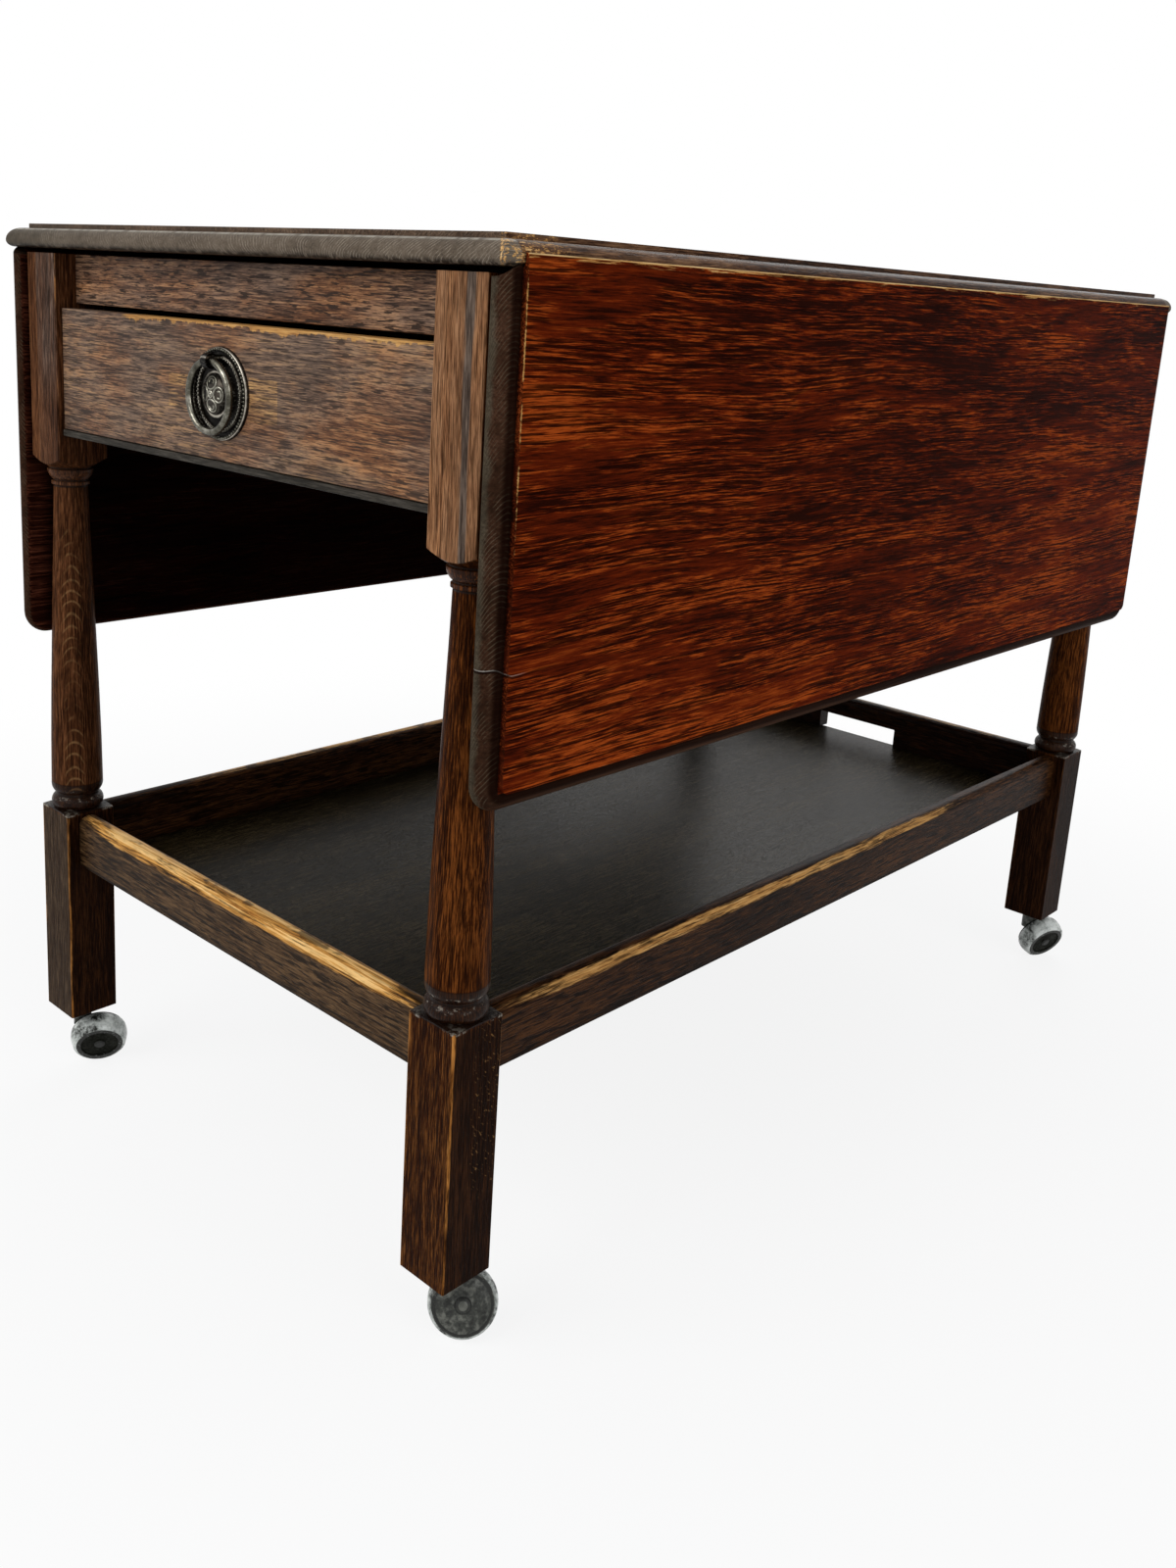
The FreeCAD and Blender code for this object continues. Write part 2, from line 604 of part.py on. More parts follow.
# ---- drawer ---------------------------------------------------------------------------------
def drawer_front():
    half = LEG_IN_X - FRONT_GAP
    lap_y = FRONT_Y - GROOVE
    body = box(-half, half, FACE_Y, FRONT_Y, FRONT_BOTTOM, FRONT_TOP)
    lap = box(SIDE_OUT - SIDE_T - FIT, SIDE_OUT + FIT, lap_y - FIT, FRONT_Y + MARGIN,
              FRONT_BOTTOM - MARGIN, SIDE_TOP + FIT)
    groove = box(-SIDE_OUT, SIDE_OUT, lap_y, FRONT_Y + MARGIN, BOTTOM_Z - FIT, BOTTOM_TOP + FIT)
    bolt = rod_y(STUD_R + FIT, FACE_Y - MARGIN, FRONT_Y + MARGIN, 0, PULL_Z)
    return body.cut([lap, mirror_x(lap), groove, bolt])


def drawer_side():
    y0 = FRONT_Y - GROOVE
    inner = SIDE_OUT - SIDE_T
    body = box(inner, SIDE_OUT, y0, BACK_Y, SIDE_BOTTOM, SIDE_TOP)
    groove = box(inner - MARGIN, inner + GROOVE, y0 - MARGIN, BACK_Y + MARGIN, BOTTOM_Z - FIT, BOTTOM_TOP + FIT)
    return body.cut(groove)


def drawer_back():
    half = SIDE_OUT - SIDE_T
    y1 = BACK_Y - BACK_IN
    return box(-half, half, y1 - BACK_T, y1, BOTTOM_TOP, SIDE_TOP - BACK_LOW)


def drawer_bottom():
    half = SIDE_OUT - SIDE_T + GROOVE - FIT
    return box(-half, half, FRONT_Y - GROOVE + FIT, BACK_Y - MARGIN, BOTTOM_Z, BOTTOM_TOP)


# ---- ring pull ------------------------------------------------------------------------------
def pull_plate():
    """Round backplate: raised rim, dished rings, domed boss, ear for the ring, stud."""
    rim_in = PLATE_R - RIM_W
    second = rim_in - RING_STEP
    outline = face([
        V(0, 0, 0), V(PLATE_R, 0, 0), V(PLATE_R, 0, RIM_EDGE),
        (V(PLATE_R - RIM_W / 2, 0, RIM_PROUD), V(rim_in, 0, PLATE_T)),
        V(second, 0, PLATE_T), (V(second - RIM_W / 2, 0, RIM_PROUD), V(second - RIM_W, 0, PLATE_T)),
        V(DISH_R, 0, PLATE_T), V(LIP_R + LIP_BEVEL, 0, LIP_PROUD - LIP_BEVEL), V(LIP_R, 0, LIP_PROUD),
        V(LIP_R - LIP_W, 0, LIP_PROUD), V(BOSS_R, 0, BOSS_PROUD),
        (V(BOSS_MID_R, 0, BOSS_MID), V(BOSS_FLAT, 0, BOSS_TOP)), V(0, 0, BOSS_TOP),
    ])
    disc = outline.revolve(V(0, 0, 0), V(0, 0, 1), 360)
    disc.rotate(V(0, 0, 0), V(1, 0, 0), 90)
    disc.translate(V(0, FACE_Y, PULL_Z))
    ring_y = FACE_Y - RING_OUT
    ear_z = PULL_Z - RING_DROP + RING_R
    bore_r = RING_BAR + RING_ROOM
    ear = rod(bore_r + EAR_WALL, EAR_W, V(-EAR_W / 2, ring_y, ear_z), V(1, 0, 0))
    root = box(-EAR_W / 2, EAR_W / 2, ring_y, FACE_Y - RIM_EDGE, ear_z - EAR_NECK, ear_z + EAR_NECK)
    hole = rod(bore_r, EAR_W + 2 * MARGIN, V(-EAR_W / 2 - MARGIN, ring_y, ear_z), V(1, 0, 0))
    stud = rod_y(STUD_R, FACE_Y - MARGIN, FRONT_Y + NUT_T + STUD_END, 0, PULL_Z)
    return joined([disc, ear.fuse(root).cut(hole), stud])


def pull_ring():
    return Part.makeTorus(RING_R, RING_BAR, V(0, FACE_Y - RING_OUT, PULL_Z - RING_DROP), V(0, 1, 0))


def pull_nut():
    """Hexagon nut that holds the stud behind the drawer front."""
    sides = 6
    angles = [math.radians(360 / sides * i) for i in range(sides + 1)]
    corners = [V(NUT_R * math.cos(a), FRONT_Y, PULL_Z + NUT_R * math.sin(a)) for a in angles]
    nut = Part.Face(Part.makePolygon(corners)).extrude(V(0, NUT_T, 0))
    return nut.cut(rod_y(STUD_R + FIT, FRONT_Y - MARGIN, FRONT_Y + NUT_T + MARGIN, 0, PULL_Z))


# ---- tray -----------------------------------------------------------------------------------
def round_top(rail, way):
    """Bullnose the long upper edges of a tray rail that runs along the unit vector way."""
    edges = []
    for edge in rail.Edges:
        upper = edge.BoundBox.ZMin > TRAY_TOP - MARGIN
        if upper and abs(edge.tangentAt(edge.FirstParameter).dot(way)) > ALONG:
            edges.append(edge)
    return rail.makeFillet(TRAY_ROUND, edges)


def tray_end():
    """Rail of the +Y end without its hand slot."""
    body = box(-LEG_IN_X, LEG_IN_X, TRAY_Y - TRAY_T, TRAY_Y, TRAY_BOTTOM, TRAY_TOP)
    tenon = box(*tenons()["tray_end"])
    return joined([round_top(body, V(1, 0, 0)), tenon, mirror_x(tenon)])


def tray_rail_back():
    slot = box(-SLOT_W / 2, SLOT_W / 2, TRAY_Y - TRAY_T - MARGIN, TRAY_Y + MARGIN,
               TRAY_BOTTOM - MARGIN, TRAY_BOTTOM + SLOT_H)
    return tray_end().cut(slot)


def tray_side():
    body = box(TRAY_X - TRAY_T, TRAY_X, -LEG_IN_Y, LEG_IN_Y, TRAY_BOTTOM, TRAY_TOP)
    tenon = box(*tenons()["tray_side"])
    return joined([round_top(body, V(0, 1, 0)), tenon, mirror_y(tenon)])


def tray_board():
    x1 = TRAY_X - PLY_SET
    y1 = TRAY_Y - PLY_SET
    z0 = TRAY_BOTTOM - PLY_T
    board = box(-x1, x1, -y1, y1, z0, TRAY_BOTTOM)
    notch = box(LEG_IN_X - PLY_GAP, HALF_W, LEG_IN_Y - PLY_GAP, HALF_L, z0 - MARGIN, TRAY_BOTTOM + MARGIN)
    pair = [notch, mirror_x(notch)]
    return board.cut(pair + [mirror_y(n) for n in pair])


# ---- swing-up stays, +X side ----------------------------------------------------------------
def leaf_stay():
    """Bent steel rod hanging behind the leaf: two pivot ends, two arms, one cross bar."""
    r = STAY_BEND
    k = r * BULGE
    y = STAY_HALF
    low = -STAY_LEN
    end = y + r + STAY_PLAY + EYE_L + STAY_END
    half = [(end, 0), (y + r, 0), ((y + k, -k), (y, -r)), (y, low + r), ((y - k, low + k), (y - r, low))]

    def place(point, side):
        return V(STAY_X, side * point[0], STAY_Z + point[1])

    right = [tuple(place(q, 1) for q in p) if isinstance(p[0], tuple) else place(p, 1) for p in half]
    left = [place(half[-1][1], -1), (place(half[-1][0], -1), place(half[3], -1)), place(half[2][1], -1),
            (place(half[2][0], -1), place(half[1], -1)), place(half[0], -1)]
    path = Part.Wire(run_edges(right + left)[0])
    ring = Part.Wire([Part.makeCircle(STAY_R, right[0], V(0, 1, 0))])
    return path.makePipeShell([ring], True, False)


def stay_bracket():
    """Strip screwed to the apron with a barrel at each end for the stay."""
    y0 = STAY_HALF + STAY_BEND + STAY_PLAY
    y1 = y0 + EYE_L
    strip = box(APRON_X, APRON_X + BRACKET_T, -y1, y1, STAY_Z - BRACKET_H, STAY_Z + BRACKET_H)
    arm = box(APRON_X, STAY_X, y0, y1, STAY_Z - EYE_ARM, STAY_Z + EYE_ARM)
    barrel = rod_y(EYE_R, y0, y1, STAY_X, STAY_Z)
    bore = rod_y(STAY_R + RUN, y0 - MARGIN, y1 + MARGIN, STAY_X, STAY_Z)
    pair = [arm, barrel]
    return joined([strip] + pair + [mirror_y(p) for p in pair]).cut([bore, mirror_y(bore)])


# ---- castors: drawn about the axle on +X at the wheel centre, then leaned and turned ---------
def spun(points):
    """Revolve a section about the X axis; points are (along axle, radius), pairs of them arcs."""
    def place(p):
        return V(p[0], 0, p[1])

    run = [tuple(place(q) for q in p) if isinstance(p[0], tuple) else place(p) for p in points]
    return face(run).revolve(V(0, 0, 0), V(1, 0, 0), 360)


def leaned(shape):
    shape = shape.copy()
    shape.rotate(V(0, 0, 0), V(0, 1, 0), -CAMBER)
    return shape


def tyre():
    low_r = TYRE_R - TYRE_FALL_LOW
    edge_r = TYRE_R - TYRE_FALL_HIGH
    return spun([
        (TYRE_LOW, TYRE_IN),
        (TYRE_LOW, low_r - TYRE_ROUND_R),
        ((TYRE_LOW + TYRE_ROUND_L * BULGE, low_r - TYRE_ROUND_R * BULGE), (TYRE_LOW + TYRE_ROUND_L, low_r)),
        ((TYRE_CROWN_X, TYRE_R), (TYRE_HIGH - TYRE_BEVEL_L, edge_r)),
        (TYRE_HIGH, edge_r - TYRE_BEVEL_R),
        (TYRE_HIGH, TYRE_IN),
    ])


def wheel():
    bore = AXLE_R + RUN
    return spun([(WHEEL_LOW, bore), (WHEEL_LOW, TYRE_IN), (WHEEL_HIGH, TYRE_IN), (WHEEL_HIGH, bore)])


def axle():
    """Rivet on which the wheel turns: domed head outside the hood, clenched tail below the wheel."""
    tail = WHEEL_LOW - TAIL_GAP
    head = HOOD_FACE + HOOD_T
    return spun([
        (tail - TAIL_T, 0), (tail - TAIL_T, TAIL_R - TAIL_BEVEL), (tail - TAIL_T + TAIL_BEVEL, TAIL_R),
        (tail, TAIL_R), (tail, AXLE_R), (head, AXLE_R), (head, HEAD_R), (head + HEAD_RIM, HEAD_R),
        ((head + HEAD_T - HEAD_FALL, HEAD_R - HEAD_FALL_IN), (head + HEAD_T, HEAD_CROWN)), (head + HEAD_T, 0),
    ])


def hood():
    """Round cover of the high side of the wheel."""
    bore = AXLE_R + FIT
    out = HOOD_FACE + HOOD_T
    return spun([
        (HOOD_FACE, bore), (HOOD_FACE, HOOD_R), (HOOD_FACE + HOOD_RIM, HOOD_R),
        ((out - HOOD_FALL, HOOD_R - HOOD_FALL_IN), (out, HOOD_FLAT)), (out, bore),
    ])


def castor(name):
    """The four pieces of one castor in place under its leg."""
    side_x, side_y, heading, hand = CASTORS[name]
    wheel_z = -leaned(tyre()).optimalBoundingBox(False, False).ZMin
    centre = V(INSET, hand * TRAIL, wheel_z)
    pieces = {"tyre": leaned(tyre()), "wheel": leaned(wheel()), "axle": leaned(axle())}
    room_r = TYRE_R + HOOD_ROOM
    room_x = TYRE_LOW - HOOD_ROOM
    room = leaned(spun([(room_x, 0), (room_x, room_r), (HOOD_FACE, room_r), (HOOD_FACE, 0)]))
    cover = leaned(hood())
    for shape in [room, cover] + list(pieces.values()):
        shape.translate(centre)
    neck_top = LEG_BOTTOM - NECK_GAP
    neck = rod(NECK_R, NECK_H, V(0, 0, neck_top - NECK_H), V(0, 0, 1))
    stem = rod(STEM_R, STEM_L + NECK_GAP, V(0, 0, neck_top), V(0, 0, 1))
    pieces["horn"] = joined([cover, neck.cut(room), stem])
    for shape in pieces.values():
        shape.rotate(V(0, 0, 0), V(0, 0, 1), heading)
        shape.translate(V(side_x * AXIS_X, side_y * AXIS_Y, 0))
    return {"castor_" + kind + "_" + name: shape for kind, shape in pieces.items()}


# ---- assembly -------------------------------------------------------------------------------
def build():
    parts = {
        "top_board": top_board(),
        "frieze_rail": frieze_rail(),
        "back_apron": back_apron(),
        "drawer_bearer": drawer_bearer(),
        "drawer_stop": drawer_stop(),
        "tray_rail_front": mirror_y(tray_end()),
        "tray_rail_back": tray_rail_back(),
        "tray_board": tray_board(),
        "drawer_front": drawer_front(),
        "drawer_back": drawer_back(),
        "drawer_bottom": drawer_bottom(),
        "pull_plate": pull_plate(),
        "pull_ring": pull_ring(),
        "pull_nut": pull_nut(),
    }
    for name, (side_x, side_y, _, _) in CASTORS.items():
        parts["leg_" + name] = leg(side_x, side_y)
        parts.update(castor(name))
    pairs = {
        "apron": side_apron(),
        "drawer_runner": drawer_runner(),
        "top_batten": top_batten(),
        "tray_rail": tray_side(),
        "leaf": swing_down(leaf_raised()),
        "stay_catch": swing_down(catch_raised()),
        "leaf_stay": leaf_stay(),
        "stay_bracket": stay_bracket(),
        "drawer_side": drawer_side(),
    }
    for name, shape in pairs.items():
        parts[name + "_right"] = shape
        parts[name + "_left"] = mirror_x(shape)
    for end, y in (("front", -HINGE_Y), ("back", HINGE_Y)):
        fixed = hinge_fixed(y)
        moving = swing_down(hinge_moving_raised(y))
        parts["hinge_fixed_right_" + end] = fixed
        parts["hinge_fixed_left_" + end] = mirror_x(fixed)
        parts["hinge_flap_right_" + end] = moving
        parts["hinge_flap_left_" + end] = mirror_x(moving)
    return parts


os.makedirs("parts", exist_ok=True)
for part_name, part_shape in build().items():
    part_shape.exportStep("parts/" + part_name + ".step")
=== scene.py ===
"""Looks of the drop leaf tea trolley: worn, dark-stained English oak, antique metal and castors.

Metres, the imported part's frame: +Z up, the drawer end at -Y, the leaves on -X and +X.
"""

import json
import math

import bmesh
import bpy
from mathutils import Matrix, Vector


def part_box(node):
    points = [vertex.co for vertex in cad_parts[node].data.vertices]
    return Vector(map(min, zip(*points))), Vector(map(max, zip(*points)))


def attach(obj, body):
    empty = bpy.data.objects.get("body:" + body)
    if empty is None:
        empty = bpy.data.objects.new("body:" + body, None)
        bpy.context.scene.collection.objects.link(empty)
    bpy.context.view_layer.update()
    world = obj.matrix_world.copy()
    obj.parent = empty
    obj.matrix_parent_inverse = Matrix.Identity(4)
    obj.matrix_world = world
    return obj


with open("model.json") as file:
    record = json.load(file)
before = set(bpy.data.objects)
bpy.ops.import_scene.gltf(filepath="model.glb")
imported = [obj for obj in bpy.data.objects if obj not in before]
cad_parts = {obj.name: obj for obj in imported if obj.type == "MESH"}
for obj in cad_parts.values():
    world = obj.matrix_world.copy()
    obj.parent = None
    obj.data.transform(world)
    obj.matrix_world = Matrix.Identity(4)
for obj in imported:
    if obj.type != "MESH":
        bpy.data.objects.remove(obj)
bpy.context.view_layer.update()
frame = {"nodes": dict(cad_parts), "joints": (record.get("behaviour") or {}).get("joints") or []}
MM = 0.001

# ---- places on the object, read from the frame -------------------------------------------------
TOP_LOW, TOP_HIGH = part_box("top_board")
LEAF_LOW, LEAF_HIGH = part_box("leaf_right")
LEG_LOW, LEG_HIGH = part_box("leg_fr")
FRONT_LOW, FRONT_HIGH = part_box("drawer_front")
RAIL_LOW, RAIL_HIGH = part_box("tray_rail_front")
PLATE_LOW, PLATE_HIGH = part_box("pull_plate")
LEG_X = (LEG_LOW[0] + LEG_HIGH[0]) / 2
LEG_Y = -(LEG_LOW[1] + LEG_HIGH[1]) / 2
LEG_HALF = (LEG_HIGH[0] - LEG_LOW[0]) / 2
LEG_FRONT = LEG_LOW[1]                       # front faces of the front legs
LOW_BLOCK_TOP = 233.0 * MM
UP_BLOCK_BOTTOM = 517.0 * MM
MOULD_W = 12.6 * MM                          # moulding of top and leaves, field to outermost point
LEAF_FACE = LEAF_HIGH[0]                     # outer face of the hanging leaf
LEAF_BACK = LEAF_LOW[0]                      # its inner face
LEAF_LIP = LEAF_HIGH[2]                      # its upper edge, over the hollow of the rule joint
LEAF_END = -LEAF_LOW[1]
TOP_END = -TOP_LOW[1]
FIELD_X = TOP_HIGH[0] - 16.0 * MM            # long edge of the raised field of the top
FIELD_Y = TOP_END - MOULD_W                  # its end
PULL_Z = (PLATE_LOW[2] + PLATE_HIGH[2]) / 2
PULL_FACE = FRONT_LOW[1]
PLATE_R = (PLATE_HIGH[0] - PLATE_LOW[0]) / 2
SIDE_RAIL_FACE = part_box("tray_rail_right")[1][0]
TYRE_SIDE_R = 18.7 * MM                      # the flat side of a tyre lies inside this radius

# ---- where the wear and the marks lie: metres, from where a mask begins to where it is full ----
LEAF_PALER_Z = (0.66, 0.42)
LEAF_PALER_Y = (0.10, -0.42)
LEAF_ARRIS_Z = (0.46, 0.60)
SPLIT_PALE_Y = (-0.405, -0.443)
TOP_LEAN_X = (0.04, 0.17)                    # here the rays on the top's end change their lean
TOP_RAYS_X = (-0.05, 0.12)
TOP_OLIVE_X = (-0.12, -0.26)
CORNER_WEAR_Y = (-0.365, -0.440)
EDGE_WEAR_Y = (-0.33, -0.42)
FRIEZE_PALER_X = (-0.05, 0.19)
DRAWER_LINE_X = (-0.105, 0.185)              # ends of the bare line along the drawer's upper edge
DRAWER_HALO_X = (0.0, 0.11)                  # ends of the rubbed place over the pull
DRAWER_GRIME_Z = (0.565, 0.545)
DRAWER_CLOUD_X, DRAWER_CLOUD_Z = 0.075, 0.592
LEFT_BLOCK_DARK_Z = (0.615, 0.555)
CHEVRONS_Z = (0.262, 0.455)                  # ends of the arched figure on the left leg
CHEVRONS_AIM = (0.83, 0.56)                  # the way it faces: share to the right, share to the front
CHEVRONS_BEND = 125.0                        # how sharply its arches bend, per metre
FLECKS_Y, FLECKS_Z = (-0.424, -0.404), (0.125, 0.222)
FOOT_GROOVES = (0.6, 12.4, 22.2)             # grooves of the turning, mm above the lower block
CAPITAL_GROOVES = (4.7, 14.2, 18.8)          # and mm below the upper block
# two paler squares on the drawer front: x0, x1, z0, z1 in mm
GHOSTS = ((-63.0, -34.0, 576.0, 598.0), (30.0, 60.0, 573.5, 601.0))
# the split in the right leaf, from its front end: y, z in mm
CRACK = ((-452.0, 460.5), (-446.0, 461.5), (-435.0, 457.7), (-406.0, 459.4), (-355.0, 455.8))
# the tray rails along x and along y: outer face, half the length of the wear, how long it fades
RAIL_WEAR = {"x": (-RAIL_LOW[1], 0.215, 0.07), "y": (SIDE_RAIL_FACE, 0.36, 0.16)}
# rubbed rims of the backplate, and dark joints on a castor's hood: radius and reach in mm
PLATE_RIMS = ((30.0, 0.8), (23.8, 1.6), (14.4, 1.6))
HOOD_JOINTS = ((4.9, 1.0), (19.0, 1.2))

# ---- colours, linear: dark, middle and light of each wood and metal, or one flat colour --------
BARE_OAK = (0.33, 0.16, 0.050)
GOLD_OAK = (0.56, 0.33, 0.13)
CREAM_OAK = (0.80, 0.66, 0.45)
LEAF_OAK = ((0.016, 0.0024, 0.0008), (0.110, 0.0118, 0.0018), (0.330, 0.057, 0.0075))
RIM_OAK = ((0.018, 0.0085, 0.0048), (0.034, 0.0155, 0.0085), (0.060, 0.028, 0.016))
OLIVE_OAK = ((0.032, 0.0260, 0.0180), (0.055, 0.0440, 0.0290), (0.082, 0.067, 0.046))
RED_OAK = ((0.012, 0.0030, 0.0016), (0.046, 0.0120, 0.0060), (0.100, 0.0300, 0.0160))
# near black: painted shade on the leaves' inner faces and on the rails and runners inside the frame
INNER_SHADE_OAK = ((0.0012, 0.0005, 0.0004), (0.0055, 0.0016, 0.0010), (0.018, 0.0050, 0.0028))
FRIEZE_OAK = ((0.055, 0.028, 0.017), (0.175, 0.096, 0.059), (0.370, 0.205, 0.108))
DRAWER_OAK = ((0.072, 0.044, 0.031), (0.175, 0.110, 0.075), (0.350, 0.205, 0.106))
FADED_OAK = ((0.105, 0.046, 0.021), (0.230, 0.110, 0.052), (0.345, 0.180, 0.092))
RUST_OAK = ((0.070, 0.026, 0.0120), (0.190, 0.078, 0.032), (0.400, 0.190, 0.080))
SLATE_OAK = ((0.040, 0.0270, 0.0210), (0.105, 0.0740, 0.0580), (0.210, 0.150, 0.115))
BEARER_OAK = ((0.012, 0.0105, 0.0080), (0.032, 0.0275, 0.0215), (0.066, 0.0580, 0.0470))
COLUMN_OAK = ((0.020, 0.0070, 0.0026), (0.064, 0.0220, 0.0080), (0.150, 0.060, 0.024))
ORANGE_OAK = ((0.010, 0.0026, 0.0007), (0.034, 0.0086, 0.0018), (0.155, 0.046, 0.009))
BAND_OAK = ((0.050, 0.0400, 0.0330), (0.100, 0.0820, 0.0680), (0.150, 0.125, 0.105))
DIM_OAK = ((0.018, 0.0085, 0.0045), (0.046, 0.0270, 0.0150), (0.105, 0.068, 0.040))
AMBER_OAK = ((0.009, 0.0022, 0.0007), (0.034, 0.0088, 0.0018), (0.170, 0.062, 0.014))
MAUVE_OAK = ((0.028, 0.0165, 0.0115), (0.096, 0.0590, 0.0430), (0.210, 0.140, 0.105))
SIDE_OAK = ((0.0045, 0.0014, 0.0006), (0.0125, 0.0040, 0.0014), (0.042, 0.0150, 0.0052))
SIDE_RAIL_OAK = ((0.008, 0.0028, 0.0010), (0.024, 0.0088, 0.0030), (0.080, 0.0310, 0.0100))
FRONT_RAIL_OAK = ((0.018, 0.0085, 0.0035), (0.056, 0.029, 0.0120), (0.130, 0.073, 0.033))
TOP_OAK = ((0.016, 0.0062, 0.0030), (0.075, 0.0330, 0.0160), (0.200, 0.105, 0.052))
END_OAK = ((0.060, 0.046, 0.033), (0.108, 0.083, 0.060), (0.160, 0.128, 0.096))
PANEL_OAK = ((0.0034, 0.0023, 0.0010), (0.0150, 0.0108, 0.0046), (0.044, 0.031, 0.0135))
RAW_OAK = ((0.16, 0.09, 0.045), (0.32, 0.20, 0.11), (0.45, 0.31, 0.19))
RAY_LINE = (0.34, 0.29, 0.23)
# rubbed wood and painted highlight on the crest of the top's end moulding
CREST_WEAR_AND_HIGHLIGHT = (0.36, 0.33, 0.27)
RIM_LINE = (0.110, 0.080, 0.052)
CHEVRON = (0.190, 0.098, 0.040)
DRY_CRACK = (0.25, 0.23, 0.20)
PALE_FLECK = (0.24, 0.125, 0.045)
# painted highlight on the shoulders and crowns of the leg turnings
PALE_HIGHLIGHT = (0.30, 0.265, 0.215)
WORN_OAK = (BARE_OAK, GOLD_OAK, CREAM_OAK)
WORN_RAIL = ((0.34, 0.130, 0.024), (0.62, 0.31, 0.075), (0.88, 0.56, 0.22))
WORN_DRAWER = ((0.300, 0.125, 0.032), (0.540, 0.290, 0.090), (0.740, 0.500, 0.240))
WORN_CORNERS = ((0.150, 0.048, 0.010), (0.460, 0.190, 0.042), (0.700, 0.420, 0.170))
BRASS = ((0.004, 0.003, 0.002), (0.070, 0.060, 0.048), (0.36, 0.33, 0.28))
PEWTER = ((0.018, 0.0165, 0.012), (0.095, 0.090, 0.070), (0.42, 0.40, 0.34))
STEEL = ((0.10, 0.095, 0.09), (0.22, 0.21, 0.20), (0.38, 0.37, 0.35))
HOOD = ((0.006, 0.0065, 0.0050), (0.034, 0.036, 0.030), (0.120, 0.122, 0.104))
WHEEL = ((0.003, 0.003, 0.002), (0.007, 0.0075, 0.005), (0.020, 0.021, 0.016))
TYRE = ((0.012, 0.0125, 0.010), (0.46, 0.485, 0.455), (0.74, 0.77, 0.73))
LACQUER_TINT = (1.0, 0.84, 0.60)             # warm gloss of the tray board


# ---- node graphs -------------------------------------------------------------------------------
class Graph:
    """A material and short ways to add shader nodes to it. Inputs are numbers or sockets."""

    def __init__(self, name):
        self.material = bpy.data.materials.new(name)
        self.material.use_nodes = True
        self.tree = self.material.node_tree
        self.tree.nodes.clear()
        self.place = self.add("ShaderNodeTexCoord").outputs["Object"]
        split = self.add("ShaderNodeSeparateXYZ", {0: self.place})
        self.x, self.y, self.z = split.outputs

    def add(self, kind, inputs=None, **settings):
        node = self.tree.nodes.new(kind)
        for key, value in settings.items():
            setattr(node, key, value)
        for key, value in (inputs or {}).items():
            if isinstance(value, bpy.types.NodeSocket):
                self.tree.links.new(value, node.inputs[key])
            elif isinstance(value, tuple) and len(value) == 3 and node.inputs[key].type == "RGBA":
                node.inputs[key].default_value = value + (1,)
            else:
                node.inputs[key].default_value = value
        return node

    def math(self, operation, a, b=0.0, clamp=False):
        return self.add("ShaderNodeMath", {0: a, 1: b}, operation=operation, use_clamp=clamp).outputs[0]

    def plus(self, a, b):
        return self.math("ADD", a, b)

    def minus(self, a, b):
        return self.math("SUBTRACT", a, b)

    def times(self, a, *others):
        for b in others:
            a = self.math("MULTIPLY", a, b)
        return a

    def most(self, a, *others):
        for b in others:
            a = self.math("MAXIMUM", a, b)
        return a

    def size(self, a):
        return self.math("ABSOLUTE", a)

    def invert(self, a):
        return self.math("SUBTRACT", 1.0, a, clamp=True)

    def span(self, value, low, high, out_low=0.0, out_high=1.0):
        """Value carried smoothly from low..high to out_low..out_high and held outside."""
        inputs = {"Value": value, "From Min": low, "From Max": high, "To Min": out_low, "To Max": out_high}
        return self.add("ShaderNodeMapRange", inputs, interpolation_type="SMOOTHSTEP").outputs[0]

    def near(self, value, centre, reach):
        """1 at centre, falling to 0 at reach from it."""
        return self.span(self.size(self.minus(value, centre)), reach, 0.0)

    def inside(self, value, low, high, soft):
        """1 between low and high, falling to 0 over soft outside."""
        return self.times(self.span(value, low - soft, low), self.span(value, high + soft, high))

    def vector(self, x, y, z):
        return self.add("ShaderNodeCombineXYZ", {0: x, 1: y, 2: z}).outputs[0]

    def scaled(self, x, y, z, shift=0.0):
        """The place on the object with each axis times a factor."""
        height = self.plus(self.times(self.z, z), shift)
        return self.vector(self.times(self.x, x), self.times(self.y, y), height)

    def noise(self, vector, detail=2.0, roughness=0.5):
        inputs = {"Vector": vector, "Scale": 1.0, "Detail": detail, "Roughness": roughness}
        return self.add("ShaderNodeTexNoise", inputs).outputs[0]

    def ramp(self, value, stops):
        node = self.add("ShaderNodeValToRGB", {0: value})
        elements = node.color_ramp.elements
        elements.remove(elements[0])
        elements[0].position = stops[0][0]
        elements[0].color = stops[0][1] + (1,)
        for position, colour in stops[1:]:
            elements.new(position).color = colour + (1,)
        return node.outputs[0]

    def mix(self, factor, a, b):
        node = self.add("ShaderNodeMix", data_type="RGBA")
        for key, value in ((0, factor), (6, a), (7, b)):
            if isinstance(value, bpy.types.NodeSocket):
                self.tree.links.new(value, node.inputs[key])
            else:
                node.inputs[key].default_value = value + (1,) if isinstance(value, tuple) else value
        return node.outputs[2]

    def hairlines(self, run, period, thin):
        """Thin lines a period apart along run: 1 on a line, 0 between."""
        saw = self.math("FRACT", self.times(run, 1 / period))
        return self.near(saw, 0.5, thin)

    def finish(self, colour, roughness, height, depth, **others):
        """Principled surface with a bump; others are its further sockets."""
        inputs = {"Base Color": colour, "Roughness": roughness}
        inputs.update({key.replace("_", " "): value for key, value in others.items()})
        shader = self.add("ShaderNodeBsdfPrincipled", inputs)
        bump = self.add("ShaderNodeBump", {"Strength": 1.0, "Distance": depth, "Height": height})
        self.tree.links.new(bump.outputs[0], shader.inputs["Normal"])
        self.add("ShaderNodeOutputMaterial", {0: shader.outputs[0]})
        return self.material


